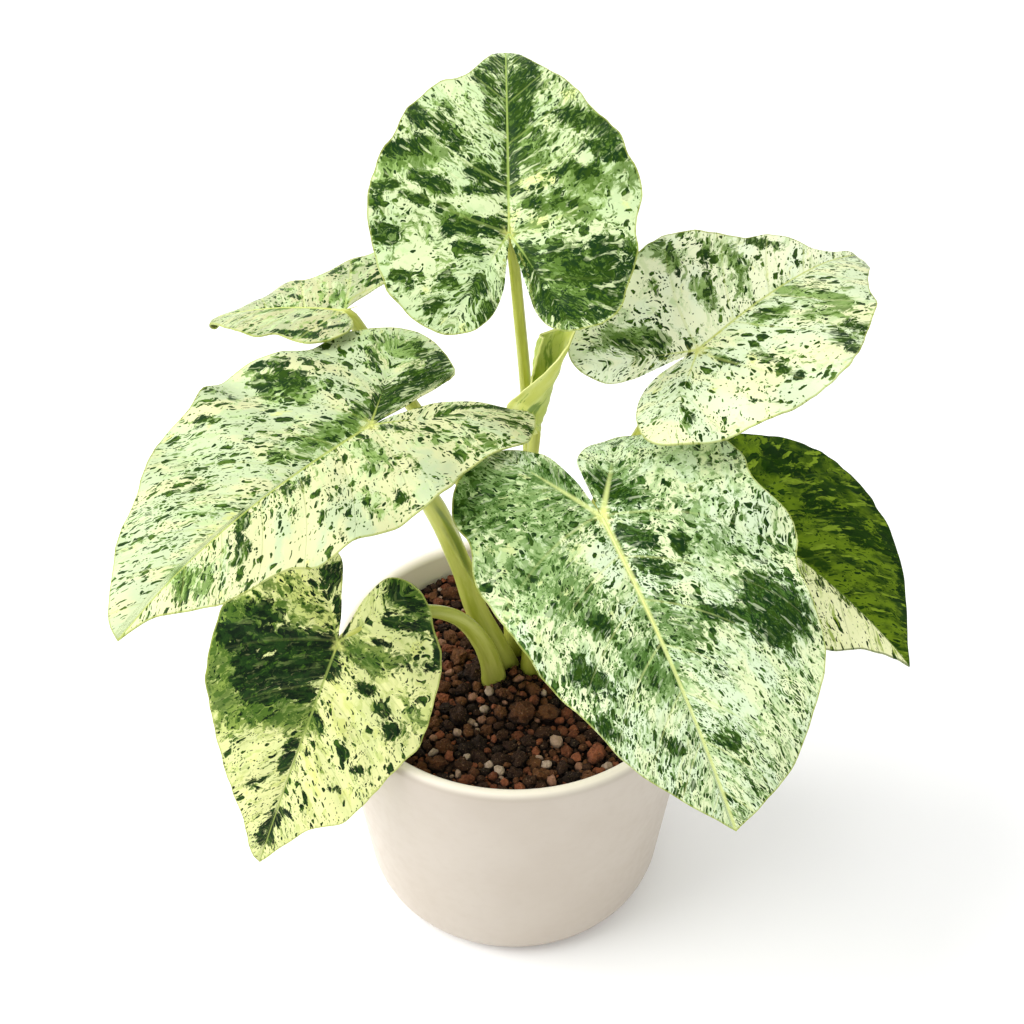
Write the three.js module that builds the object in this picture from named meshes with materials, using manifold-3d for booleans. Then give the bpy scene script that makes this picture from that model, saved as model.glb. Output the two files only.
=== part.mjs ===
// Potted batik alocasia odora: seven spread leaves and one furled leaf on fleshy stalks that rise
// from a corm in a 16 cm tapered ceramic pot. Millimetres, +Z up, the origin under the pot's foot.
import * as THREE from "three";
import Module from "manifold-3d";

// The pot.
const RIM_RADIUS = 80;
const POT_HEIGHT = 124.5;
const FOOT_RADIUS = 51.5;
const WALL = 6.8;
const FLOOR = 8;
const POT_SIDES = 56;

// The soil, its coarse grains and the corm under it.
const GAP = 0.3;
const SOIL_TOP = 112;
const GRAIN_COUNT = 210;
const CORM_CENTRE = { x: 4, y: 5.5 };
const CORM_RADIUS = 21;
const CORM_TOP = 109;
const CORM_FOOT = 84;

// The leaves.
const BLADE_THICKNESS = 0.8;
const MARGIN_STEPS = 28;
const RINGS = [0.3, 0.58, 0.82, 1];
const STALK_SIDES = 12;
const STALK_STEPS = 13;

const radians = (degrees) => (degrees * Math.PI) / 180;
const point = (x, y, z) => new THREE.Vector3(x, y, z);

const wasm = await Module();
wasm.setup();

const glaze = new THREE.MeshStandardMaterial({ color: 0xdcd2c4, roughness: 0.45, metalness: 0 });
const earth = new THREE.MeshStandardMaterial({ color: 0x4a2f24, roughness: 0.95, metalness: 0 });
const cork = new THREE.MeshStandardMaterial({ color: 0x8a7a4c, roughness: 0.9, metalness: 0 });
const stalkGreen = new THREE.MeshStandardMaterial({ color: 0xa9b552, roughness: 0.45, metalness: 0 });
const bladeGreen = new THREE.MeshStandardMaterial({ color: 0xb9cf8c, roughness: 0.4, metalness: 0 });
const youngGreen = new THREE.MeshStandardMaterial({ color: 0xbccb5a, roughness: 0.4, metalness: 0 });

// A leaf blade is a bent sheet. Its rib starts at `at`, where the stalk joins, and runs towards
// `heading` at `slope`, losing `droop` degrees by its `length`; past `hook.from` the tip turns down
// by `hook.by` degrees. Each half rises from the rib by its fold, which eases off towards the tip,
// and flattens by its cup. The left half comes first in every pair. Both margins run from the tip
// to the notch behind the stalk, as distances along and beside the rib.
const LEAVES = {
  a: {
    at: [-2, 11, 336.4], heading: 91, slope: 32, roll: 0, length: 86, droop: 30, power: 1.6,
    hook: { from: 84, by: 75 }, lobes: [14, 14], folds: [8, 8], cups: [-8, -8], ease: 0.7,
    wave: [1.6, 34, 0],
    left: [[99, 0], [93, 2.5], [84, 6], [74, 13], [69, 18], [66.5, 25], [55, 36.5], [40, 42.5],
      [30, 49], [14, 52.5], [2, 52], [-13, 49], [-25, 44], [-35, 34], [-39, 25], [-38, 14],
      [-32, 6.5], [-22, 2.5], [-9, 2]],
    right: [[99, 0], [93, 3.5], [84, 6.5], [74, 16], [69, 21], [55, 31], [40, 42], [30, 45], [18, 50],
      [0, 47], [-10, 47.5], [-21, 44], [-33, 39], [-37, 31], [-38, 17], [-32, 10], [-16, 6.5], [-7, 3]],
  },
  b: {
    at: [71, 10, 283], heading: 37, slope: 20, roll: 12, length: 96, droop: 50, power: 1.6,
    hook: { from: 88, by: 40 }, lobes: [0, 0], folds: [14, 14], cups: [-10, -10], ease: 0.7,
    wave: [1.6, 34, 0],
    left: [[104, 0], [92, 2], [79, 4], [70, 8], [65, 15], [58, 22], [47, 25], [42, 30], [29, 44],
      [22, 47], [3, 44], [-12, 44], [-28, 39], [-38, 33], [-40, 25], [-36, 13], [-28, 8], [-14, 6],
      [-6, 3]],
    right: [[104, 0], [97, 4], [89, 9], [81, 14], [70, 23], [67, 29], [51, 40], [32, 49.5], [16, 49.5],
      [2, 49], [-9, 44], [-26, 37], [-36, 29], [-42, 18], [-40, 10], [-36, 4.5], [-30, 0],
      [-21, -2], [-14, -1.6], [-6, -0.9]],
  },
  c: {
    at: [-69.5, 52, 271.2], heading: 156, slope: -12, roll: 2, length: 68, droop: 20.5, power: 1.4,
    hook: { from: 63, by: 90 }, lobes: [0, 0], folds: [0, 13], cups: [-6, -6], ease: 3,
    wave: [0, 30, 0],
    left: [[71, 0], [66, 3.5], [60, 7], [46, 15], [35, 20], [28, 22], [21, 20.5], [12, 23],
      [2, 25.5], [-6, 22], [-11, 16], [-10, 9], [-4, 3]],
    right: [[71, 0], [67, 3], [62, 5.5], [56, 8.5], [52, 11], [49, 17], [45, 22], [40, 22.5],
      [34, 21], [28, 19.5], [22, 20.5], [16, 26], [4, 33.5], [-4, 37], [-12, 31], [-15, 22],
      [-10, 15], [-3, 8], [-1, 3]],
  },
  d: {
    at: [-55, -17, 267.3], heading: 227.6, slope: 2, roll: -5, length: 131, droop: 34, power: 1.6,
    hook: { from: 131, by: 0 }, lobes: [0, 0], folds: [4, 4], cups: [-8, -12], ease: 0.7,
    wave: [1.6, 40, 0],
    left: [[131, 0], [126, 1.5], [118, 5], [107, 15], [97, 23], [85, 28], [73, 31], [64, 38],
      [46, 41], [36, 44], [6, 46], [-9, 42], [-23, 44], [-34, 48], [-47, 43], [-52, 37], [-47, 29],
      [-30, 10], [-10, 2.5]],
    right: [[131, 0], [129, 6], [118, 16.5], [100, 31], [86, 37], [57, 54.5], [43, 55], [30, 60],
      [10, 62], [-2, 55], [-15, 50], [-28, 50.5], [-41, 40], [-51, 32], [-54, 21], [-51, 8], [-46, -0.8],
      [-38, -1.4], [-27, -1.2], [-16, -1], [-5, -0.5]],
  },
  e: {
    at: [-71.5, -35, 168], heading: 234, slope: -53, roll: -25, length: 108, droop: 24, power: 1.5,
    hook: { from: 108, by: 0 }, lobes: [0, 0], folds: [10, 10], cups: [-10, -10], ease: 0.7,
    wave: [1, 34, 0],
    left: [[108, 0], [102, 3], [91, 9], [79, 17], [72, 27], [60, 33], [36, 42], [27, 46], [12, 46],
      [-8, 43], [-16, 39], [-22, 34], [-29, 30], [-35, 19], [-33, 10], [-21, 4], [-8, 2]],
    right: [[108, 0], [103, 5], [92, 10], [69, 25], [51, 36], [36, 44], [22, 48], [4, 49], [-14, 44],
      [-27, 35], [-36, 22], [-35, 12], [-21, 6], [-8, 2]],
  },
  f: {
    at: [33, -50, 250], heading: 292.5, slope: -15, roll: 8, length: 130, droop: 34, power: 1.5,
    hook: { from: 130, by: 0 }, lobes: [45, 0], folds: [6, 6], cups: [-12, -12], ease: 0.7,
    wave: [1.5, 44, 0],
    left: [[130, 0], [127, 6], [116, 27], [102, 40], [79, 57], [64, 59], [48, 59], [33, 66],
      [25, 67], [9, 59], [-10, 62], [-21, 56], [-28, 42], [-34, 26], [-39, 12], [-34, 3.5], [-24, 1.5],
      [-12, 0.6], [-5, 0.2]],
    right: [[130, 0], [124, 5], [108, 19], [92, 30], [74, 37], [59, 44], [41, 49], [18, 53], [8, 55],
      [-5, 51], [-22, 52], [-33, 47], [-41, 33], [-40, 22], [-33, 10], [-20, 4], [-7, 1.5]],
  },
  g: {
    at: [88, 15, 197], heading: 324.5, slope: -12, roll: 0, length: 100, droop: 30, power: 1.5,
    hook: { from: 100, by: 0 }, lobes: [0, 0], folds: [12, 12], cups: [-10, -10], ease: 0.7,
    wave: [0, 30, 0],
    left: [[100, 0], [93, 6], [84, 17], [64, 36], [41, 48], [22, 51.5], [8, 50], [-4, 45],
      [-18, 34], [-27, 22], [-27, 12], [-17, 5], [-6, 1.5]],
    right: [[100, 0], [93, 4], [81, 14], [68, 31], [52, 41], [30, 48], [10, 47], [-8, 41], [-20, 31],
      [-27, 18], [-22, 9], [-8, 2]],
  },
};

// Each stalk runs from the corm to its blade: the places it passes and its radius at each.
const STALKS = {
  a: {
    path: [[7.5, 6.5, 109.3], [7.8, 9, 150], [6.7, 13, 215], [4.8, 14.5, 257], [2, 13.4, 295],
      [-0.5, 11.6, 325], [-2, 11.6, 334], [-2, 15, 337.6], [-2, 21, 341]],
    radii: [4.2, 3.6, 2.9, 2.4, 2.3, 2.2, 2.3, 2, 1],
  },
  b: {
    path: [[15.5, 5, 109.3], [17, 5.5, 140], [28, 7, 190], [50, 8.5, 243], [66, 9.5, 275],
      [70, 10, 281], [74, 12.2, 284.4], [80, 16.6, 286.5]],
    radii: [3.6, 3.2, 2.7, 2.3, 2.3, 2.3, 2, 1],
  },
  c: {
    path: [[0, 13.5, 109.3], [-2, 16, 140], [-22, 29, 200], [-48, 43, 240], [-61, 49.2, 260],
      [-67, 51.4, 268.6], [-71.5, 53, 270.2], [-77, 55.4, 268.6]],
    radii: [4.2, 3.8, 3, 2.7, 2.6, 2.5, 2, 1],
  },
  d: {
    path: [[-2, 4, 109.3], [-6, 2.6, 125], [-16, 0.5, 153], [-21.5, -3.5, 180], [-32, -9.5, 219],
      [-46, -14.4, 250], [-53, -16.4, 263], [-57, -19.4, 266.2], [-62.6, -25.6, 266.4]],
    radii: [5.2, 5, 4.7, 4.4, 4.6, 3.3, 2.9, 2.4, 1.1],
  },
  e: {
    path: [[-8.5, -5, 109.3], [-9, -6.6, 122], [-13.5, -9.8, 143], [-23, -14.6, 162],
      [-36, -21, 172.5], [-52, -28, 174.5], [-66, -33, 171], [-71, -34.2, 167.3],
      [-73.4, -37, 162.5]],
    radii: [4.4, 4.3, 3.7, 2.9, 2.6, 2.5, 2.4, 2.1, 1],
  },
  f: {
    path: [[14, -3.5, 109.3], [15, -5, 130], [22, -16, 185], [29, -34, 228], [32.2, -45.5, 244.5],
      [33.2, -49.8, 248.8], [35, -54.4, 248.4], [37.6, -61, 245.6]],
    radii: [3.7, 3.6, 3, 2.7, 2.6, 2.5, 2, 1],
  },
  g: {
    path: [[9, 14.8, 109.3], [14, 15, 132], [36, 16, 165], [68, 16, 190], [83, 15.2, 195.4],
      [88, 14.4, 195.4], [93, 11.2, 194], [99, 6.6, 191.6]],
    radii: [3.6, 3.4, 3, 2.6, 2.5, 2.3, 1.9, 1],
  },
  h: {
    path: [[6.5, -1.6, 109.3], [6.6, -1, 140], [6.4, 1.6, 190], [6.7, 4, 225], [8.2, 5.6, 245],
      [8.6, 6, 254]],
    radii: [3.6, 3.2, 2.7, 2.4, 2.4, 1.2],
  },
};

// The furled leaf is a sheet rolled like a funnel. Each row crosses it once, from the free front
// edge, round the right side and the back, to the edge tucked inside. The rows climb to the tip.
const FURL = [
  [[6.6, 3.3, 250], [8.8, 2.8, 250], [11.3, 4.6, 250], [11.4, 7.4, 250], [8.8, 9.2, 250],
    [6, 7.8, 250], [5.5, 5.6, 250]],
  [[-3, 2, 260.8], [1.8, 1.2, 259.6], [6.8, 0.8, 258.6], [12, 3.2, 258], [12, 7.6, 258],
    [8.6, 9.8, 258], [6, 7.2, 258.5]],
  [[1.8, 1, 268], [6.2, 0.4, 267], [11, 0.6, 266.2], [14, 3.6, 266], [13, 7.8, 266],
    [9, 9.8, 266], [6.4, 7.6, 266.5]],
  [[11.2, 0.5, 278.5], [14, 0.8, 276.6], [16.4, 3, 275.6], [16, 6.6, 275], [12, 9.4, 275],
    [7.6, 8.6, 275], [7.8, 5.8, 275.5]],
  [[18.3, 1.5, 287.6], [19, 2.4, 286.4], [19.6, 4, 285.6], [17.6, 7.4, 284.6], [13, 9.4, 284],
    [8.4, 8, 284], [9.4, 5.4, 284.5]],
  [[22, 2.6, 295.4], [22.2, 3.4, 294.8], [22, 4.8, 294], [18.8, 7.4, 291.4], [14, 8.8, 289.4],
    [9, 7.4, 288.6], [10.4, 5.2, 289]],
  [[23.6, 3.6, 302], [23.6, 4, 301.8], [23.2, 4.8, 301], [19.6, 7, 296.6], [15, 8, 293.8],
    [10, 6.8, 292.4], [11.4, 5.2, 292.4]],
];

function solid(positions, faces) {
  return new wasm.Manifold(new wasm.Mesh({
    numProp: 3,
    vertProperties: new Float32Array(positions.flatMap((p) => [p.x, p.y, p.z])),
    triVerts: new Uint32Array(faces.flat()),
  }));
}

function mesh(name, body, material) {
  const made = body.getMesh();
  const geometry = new THREE.BufferGeometry();
  geometry.setAttribute("position", new THREE.BufferAttribute(new Float32Array(made.vertProperties), 3));
  geometry.setIndex(new THREE.BufferAttribute(new Uint32Array(made.triVerts), 1));
  geometry.computeVertexNormals();
  const result = new THREE.Mesh(geometry, material);
  result.name = name;
  return result;
}

// Joins closed rings of equally many points into one skin, shut by a fan at either end.
function skin(rings, first, last) {
  const sides = rings[0].length;
  const positions = [...rings.flat(), first, last];
  const faces = [];
  const [firstIndex, lastIndex] = [positions.length - 2, positions.length - 1];
  for (let i = 0; i < sides; i += 1) {
    const next = (i + 1) % sides;
    const end = (rings.length - 1) * sides;
    faces.push([firstIndex, next, i], [lastIndex, end + i, end + next]);
    for (let k = 0; k + 1 < rings.length; k += 1) {
      const [low, high] = [k * sides, (k + 1) * sides];
      faces.push([low + i, low + next, high + next], [low + i, high + next, high + i]);
    }
  }
  return solid(positions, faces);
}

function ringAt(centre, radius, z, sides) {
  return Array.from({ length: sides }, (_, i) => {
    const angle = (2 * Math.PI * i) / sides;
    return point(centre.x + radius * Math.cos(angle), centre.y + radius * Math.sin(angle), z);
  });
}

// The outside and the inside of the pot's wall at one height.
const outerRadius = (z) => RIM_RADIUS - (POT_HEIGHT - 3 - z) * 0.131;
const innerRadius = (z) => outerRadius(z) - WALL;

function pot() {
  const top = POT_HEIGHT;
  const profile = [
    [FOOT_RADIUS, 0], [57.3, 1.2], [62, 4.4], [64.6, 8.9], [outerRadius(14), 14],
    [outerRadius(top - 3), top - 3], [RIM_RADIUS - 0.7, top - 1], [RIM_RADIUS - 2.4, top],
    [innerRadius(top) + 2.2, top], [innerRadius(top) + 0.6, top - 0.9], [innerRadius(top - 3), top - 3],
    [innerRadius(18), 18], [56.6, FLOOR + 3.4], [51, FLOOR + 0.4], [46, FLOOR],
  ];
  const rings = profile.map(([radius, z]) => ringAt({ x: 0, y: 0 }, radius, z, POT_SIDES));
  return skin(rings, point(0, 0, 0), point(0, 0, FLOOR));
}

// Draws the same even spread of values on every run.
function drawer(seed) {
  let state = seed;
  return () => {
    state = (state * 16807) % 2147483647;
    return state / 2147483647;
  };
}

// Grains of lava and pumice stand up out of the soil as low domes.
function soil() {
  const draw = drawer(71);
  const edge = innerRadius(SOIL_TOP) - GAP;
  const grains = Array.from({ length: GRAIN_COUNT }, () => {
    const angle = 2 * Math.PI * draw();
    const reach = (edge - 4) * Math.sqrt(draw());
    return { x: reach * Math.cos(angle), y: reach * Math.sin(angle), radius: 3 + 4 * draw() ** 2 };
  });
  const heightAt = (x, y) => Math.max(0, ...grains.map((grain) => {
    const away = Math.hypot(x - grain.x, y - grain.y) / grain.radius;
    return away < 1 ? 0.55 * grain.radius * Math.sqrt(1 - away * away) : 0;
  }));
  const hole = CORM_RADIUS + GAP;
  const centre = { x: 0, y: 0 };
  const rings = [
    ringAt(centre, 45.6, FLOOR + GAP, POT_SIDES),
    ringAt(centre, 50.6, FLOOR + 0.9, POT_SIDES),
    ringAt(centre, 56, FLOOR + 4, POT_SIDES),
    ringAt(centre, innerRadius(18) - GAP, 18, POT_SIDES),
    ringAt(centre, edge, SOIL_TOP, POT_SIDES),
  ];
  const steps = 10;
  for (let k = 1; k < steps; k += 1) {
    const part = k / steps;
    const middle = { x: CORM_CENTRE.x * part, y: CORM_CENTRE.y * part };
    const ring = ringAt(middle, THREE.MathUtils.lerp(edge, hole, part), SOIL_TOP, POT_SIDES);
    ring.forEach((p) => {
      p.x += k > 1 ? 1.4 * (draw() - 0.5) : 0;
      p.y += k > 1 ? 1.4 * (draw() - 0.5) : 0;
      p.z += heightAt(p.x, p.y);
    });
    rings.push(ring);
  }
  rings.push(ringAt(CORM_CENTRE, hole, SOIL_TOP, POT_SIDES));
  rings.push(ringAt(CORM_CENTRE, hole, CORM_FOOT - GAP, POT_SIDES));
  const foot = point(CORM_CENTRE.x, CORM_CENTRE.y, CORM_FOOT - GAP);
  return skin(rings, point(0, 0, FLOOR + GAP), foot);
}

function corm() {
  const shape = [[0.55, 0], [0.82, 3], [0.97, 8], [1, 14], [0.97, 20], [0.93, CORM_TOP - CORM_FOOT]];
  const rings = shape.map(([part, z]) => ringAt(CORM_CENTRE, CORM_RADIUS * part, CORM_FOOT + z, 32));
  const { x, y } = CORM_CENTRE;
  return skin(rings, point(x, y, CORM_FOOT), point(x, y, CORM_TOP));
}

// A stalk is a round limb whose lowest ring lies flat on the corm.
function limb({ path, radii }) {
  const curve = new THREE.CatmullRomCurve3(path.map((p) => point(...p)), false, "centripetal");
  const frames = curve.computeFrenetFrames(STALK_STEPS);
  const last = radii.length - 1;
  const rings = Array.from({ length: STALK_STEPS + 1 }, (_, k) => {
    const along = curve.getUtoTmapping(k / STALK_STEPS);
    const place = curve.getPoint(along);
    const before = Math.min(Math.floor(along * last), last - 1);
    const radius = THREE.MathUtils.lerp(radii[before], radii[before + 1], along * last - before);
    return Array.from({ length: STALK_SIDES }, (__, i) => {
      const angle = (2 * Math.PI * i) / STALK_SIDES;
      const p = place.clone();
      p.addScaledVector(frames.normals[k], -radius * Math.cos(angle));
      p.addScaledVector(frames.binormals[k], radius * Math.sin(angle));
      return k === 0 ? p.setZ(path[0][2]) : p;
    });
  });
  const body = skin(rings, point(...path[0]), point(...path[path.length - 1]));
  return body.volume() > 0 ? body : skin(rings.map((ring) => ring.reverse()), point(...path[0]),
    point(...path[path.length - 1]));
}

// The place on a leaf's sheet `along` and `beside` the rib; `beside` is positive on the left.
function onBlade(leaf, along, beside, above = 0) {
  const [heading, slope, roll] = [leaf.heading, leaf.slope, leaf.roll].map(radians);
  const level = Math.cos(slope);
  const rib = point(Math.cos(heading) * level, Math.sin(heading) * level, Math.sin(slope));
  const flat = point(-Math.sin(heading), Math.cos(heading), 0);
  const upright = rib.clone().cross(flat);
  const side = flat.clone().multiplyScalar(Math.cos(roll)).addScaledVector(upright, Math.sin(roll));
  const face = upright.clone().multiplyScalar(Math.cos(roll)).addScaledVector(flat, -Math.sin(roll));
  const half = beside < 0 ? 1 : 0;
  const turnAt = (s) => {
    if (s < 0) return radians((-leaf.lobes[half] * s) / 50);
    const hooked = Math.max(0, s - leaf.hook.from) / 14;
    return -radians(leaf.droop * (s / leaf.length) ** leaf.power + leaf.hook.by * hooked);
  };
  let [run, rise] = [0, 0];
  const pieces = 24;
  for (let i = 0; i < pieces; i += 1) {
    const turn = turnAt((along * (i + 0.5)) / pieces);
    run += (along / pieces) * Math.cos(turn);
    rise += (along / pieces) * Math.sin(turn);
  }
  const turn = turnAt(along);
  const width = Math.abs(beside);
  const fold = radians(leaf.folds[half]) * (1 - leaf.ease * (Math.max(along, 0) / leaf.length) ** 2);
  const bend = radians(leaf.cups[half]) / 50;
  const out = ((Math.sin(fold + bend * width) - Math.sin(fold)) / bend) * Math.sign(beside);
  const [high, waves, phase] = leaf.wave;
  const ripple = Math.sin((2 * Math.PI * along) / waves + radians(phase) + (beside < 0 ? 2 : 0));
  const lift = (Math.cos(fold) - Math.cos(fold + bend * width)) / bend
    + high * Math.min(width / 40, 1.6) ** 2 * ripple + above;
  return point(...leaf.at)
    .addScaledVector(rib, run - lift * Math.sin(turn))
    .addScaledVector(face, rise + lift * Math.cos(turn))
    .addScaledVector(side, out);
}

// The two margins as one line from the notch on the right, round the tip, to the notch on the left.
function marginOf(leaf) {
  const trace = (line, sign) => {
    const curve = new THREE.CatmullRomCurve3(line.map(([s, t]) => point(s, sign * t, 0)), false,
      "centripetal");
    return curve.getSpacedPoints(MARGIN_STEPS);
  };
  return [...trace(leaf.right, -1).reverse(), ...trace(leaf.left, 1).slice(1)];
}

// A sheet between two distances from the leaf's middle surface, over rays from the stalk to a line.
function sheet(leaf, line, low, high, closed) {
  const rings = RINGS.length;
  const places = line.flatMap(({ x, y }) => RINGS.map((part) => [x * part, y * part]));
  places.push([0, 0]);
  const centre = places.length - 1;
  const layer = (above) => places.map(([s, t]) => {
    const step = 0.5;
    const side = t < 0 ? -step : step;
    const place = onBlade(leaf, s, t);
    const along = onBlade(leaf, s + step, t).sub(place);
    const beside = onBlade(leaf, s, t + side).sub(place).multiplyScalar(Math.sign(side));
    return place.addScaledVector(along.cross(beside).normalize(), above);
  });
  const positions = [...layer(low), ...layer(high)];
  const over = places.length;
  const faces = [];
  const both = (a, b, c) => faces.push([over + a, over + b, over + c], [a, c, b]);
  const wall = (a, b) => faces.push([a, b, over + b], [a, over + b, over + a]);
  const spans = closed ? line.length : line.length - 1;
  for (let i = 0; i < spans; i += 1) {
    const [here, next] = [i * rings, ((i + 1) % line.length) * rings];
    both(centre, here, next);
    for (let k = 0; k + 1 < rings; k += 1) {
      both(here + k, here + k + 1, next + k + 1);
      both(here + k, next + k + 1, next + k);
    }
    wall(here + rings - 1, next + rings - 1);
  }
  if (!closed) {
    const ends = [centre, ...RINGS.map((_, k) => k)];
    const others = [centre, ...RINGS.map((_, k) => (line.length - 1) * rings + k)];
    for (let k = 0; k < rings; k += 1) {
      wall(ends[k], ends[k + 1]);
      wall(others[k + 1], others[k]);
    }
  }
  return solid(positions, faces);
}

function blade(leaf) {
  return sheet(leaf, marginOf(leaf), -BLADE_THICKNESS / 2, BLADE_THICKNESS / 2, false);
}

// The stalk stops just under the sheet that it carries, and so does its taper along the rib.
function stalk(name) {
  const body = limb(STALKS[name]);
  const leaf = LEAVES[name];
  if (!leaf) return body;
  const around = Array.from({ length: 20 }, (_, i) => {
    const angle = (2 * Math.PI * i) / 20;
    return { x: 17 * Math.cos(angle), y: 17 * Math.sin(angle) };
  });
  const under = -BLADE_THICKNESS / 2 - GAP;
  const notch = sheet(leaf, around, under - 0.1, 12, true);
  return body.subtract(sheet(leaf, marginOf(leaf), under, 4, false)).subtract(notch);
}

function furledBlade() {
  const across = 20;
  const cuts = FURL.map((row) => new THREE.CatmullRomCurve3(
    row.map((place) => point(...place)), false, "centripetal").getSpacedPoints(across));
  const upright = Array.from({ length: across + 1 }, (_, i) => new THREE.CatmullRomCurve3(
    cuts.map((cut) => cut[i]), false, "centripetal").getPoints(12));
  const [rows, columns] = [across + 1, upright[0].length];
  const normalAt = (i, k) => {
    const beside = upright[Math.min(i + 1, rows - 1)][k].clone().sub(upright[Math.max(i - 1, 0)][k]);
    const along = upright[i][Math.min(k + 1, columns - 1)].clone().sub(upright[i][Math.max(k - 1, 0)]);
    return beside.cross(along).normalize();
  };
  const layer = (above) => upright.flatMap((line, i) => line.map((p, k) => p.clone()
    .addScaledVector(normalAt(i, k), above)));
  const positions = [...layer(-BLADE_THICKNESS / 2), ...layer(BLADE_THICKNESS / 2)];
  const over = rows * columns;
  const faces = [];
  const both = (a, b, c) => faces.push([over + a, over + b, over + c], [a, c, b]);
  const wall = (a, b) => faces.push([a, b, over + b], [a, over + b, over + a]);
  const at = (i, k) => i * columns + k;
  for (let i = 0; i + 1 < rows; i += 1) {
    for (let k = 0; k + 1 < columns; k += 1) {
      both(at(i, k), at(i + 1, k), at(i + 1, k + 1));
      both(at(i, k), at(i + 1, k + 1), at(i, k + 1));
    }
    wall(at(i, 0), at(i + 1, 0));
    wall(at(i + 1, columns - 1), at(i, columns - 1));
  }
  for (let k = 0; k + 1 < columns; k += 1) {
    wall(at(rows - 1, k), at(rows - 1, k + 1));
    wall(at(0, k + 1), at(0, k));
  }
  return solid(positions, faces);
}

const plant = new THREE.Group();
plant.name = "potted_batik_alocasia_odora";
plant.add(mesh("pot", pot(), glaze));
plant.add(mesh("soil", soil(), earth));
plant.add(mesh("corm", corm(), cork));
Object.keys(STALKS).forEach((name) => {
  plant.add(mesh(`stalk_${name}`, stalk(name), stalkGreen));
});
Object.entries(LEAVES).forEach(([name, leaf]) => {
  plant.add(mesh(`blade_${name}`, blade(leaf), bladeGreen));
});
plant.add(mesh("blade_h_furled", furledBlade(), youngGreen));

export default plant;
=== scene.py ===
import math
import random

import bpy
import numpy as np
from mathutils import Matrix, Vector, noise


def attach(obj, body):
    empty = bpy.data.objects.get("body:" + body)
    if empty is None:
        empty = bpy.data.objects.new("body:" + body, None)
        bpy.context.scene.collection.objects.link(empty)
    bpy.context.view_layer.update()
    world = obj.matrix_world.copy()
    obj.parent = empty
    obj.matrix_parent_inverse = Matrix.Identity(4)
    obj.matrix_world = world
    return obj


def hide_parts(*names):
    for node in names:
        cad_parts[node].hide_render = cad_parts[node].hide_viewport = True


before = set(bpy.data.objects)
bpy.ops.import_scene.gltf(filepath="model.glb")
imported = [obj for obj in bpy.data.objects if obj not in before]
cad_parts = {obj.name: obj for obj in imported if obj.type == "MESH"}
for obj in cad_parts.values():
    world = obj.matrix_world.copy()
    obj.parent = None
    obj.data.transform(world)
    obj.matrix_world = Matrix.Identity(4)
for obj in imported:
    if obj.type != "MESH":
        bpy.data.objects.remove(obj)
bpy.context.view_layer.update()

# Pieces are measured in millimetres, with +Z up and the origin in the middle of the pot's foot,
# and turned into metres when their points are set. The floor and the lamps are placed in metres.
MM = 0.001

# The camera, the photo's side in pixels and how large it shows the leaves.
VIEW_HEIGHT = math.radians(41.5)
VIEW_DISTANCE = 899
VIEW_CENTRE = Vector((-0.9, 0, 208))
LENS = 77.98
SENSOR = 36
PHOTO_SIDE = 1024
PIXELS_PER_MM = 2.4

# Strength of the sky, the large window light and the low side light.
SKY = 0.93
KEY = 46
SIDE = 8

# The pot and the corm in its soil.
RIM_RADIUS = 80
RIM_ROUND = 3.4
POT_HEIGHT = 124.5
POT_TAPER = 0.131
WALL = 6.8
FLOOR = 8
FOOT_TOP = 14
POT_SIDES = 144
SOIL_TOP = 111.6
SOIL_GAP = 0.4
CORM_CENTRE = (4, 5.5)
CORM_HOLE_RADIUS = 21.3
CORM_HOLE_MIDDLE = 96.6
CORM_HOLE_DEPTH = 25.8

# The blades' net, its small unevenness, and how the veins run. Angles are in degrees.
BLADE_THICKNESS = 0.7
EDGE_POINTS = 100
RINGS = 50
HOOK_LENGTH = 14
SKIN_GRAIN = 0.16
HEM_WAVE = 0.5
RIB_VALLEY = 0.5
EDGE_WOBBLE = 0.35
VEIN_SPACING = 19
VEIN_LEAN = 76
VEIN_LEAN_LOST = 40
VEIN_BEND = 0.0045
INNER_LEAN = math.radians(50)
COSTA = math.radians(148)
COSTA_LEAN_KEPT = 58
LOBE_LENGTH = 46

# The stalks' points and sides, and the height over which they widen towards the soil.
STALK_POINTS = 90
FLARE_TOP = 128
FLARE_HEIGHT = 18
PLAIN_FLARE = 0.15

# The groove of an open sheath: the way it faces at its lower and upper end in degrees, its depth,
# and where it starts and ends along the stalk.
GROOVES = {"d": ((40, 95), 0.35, 0.34, 0.64)}

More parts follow.
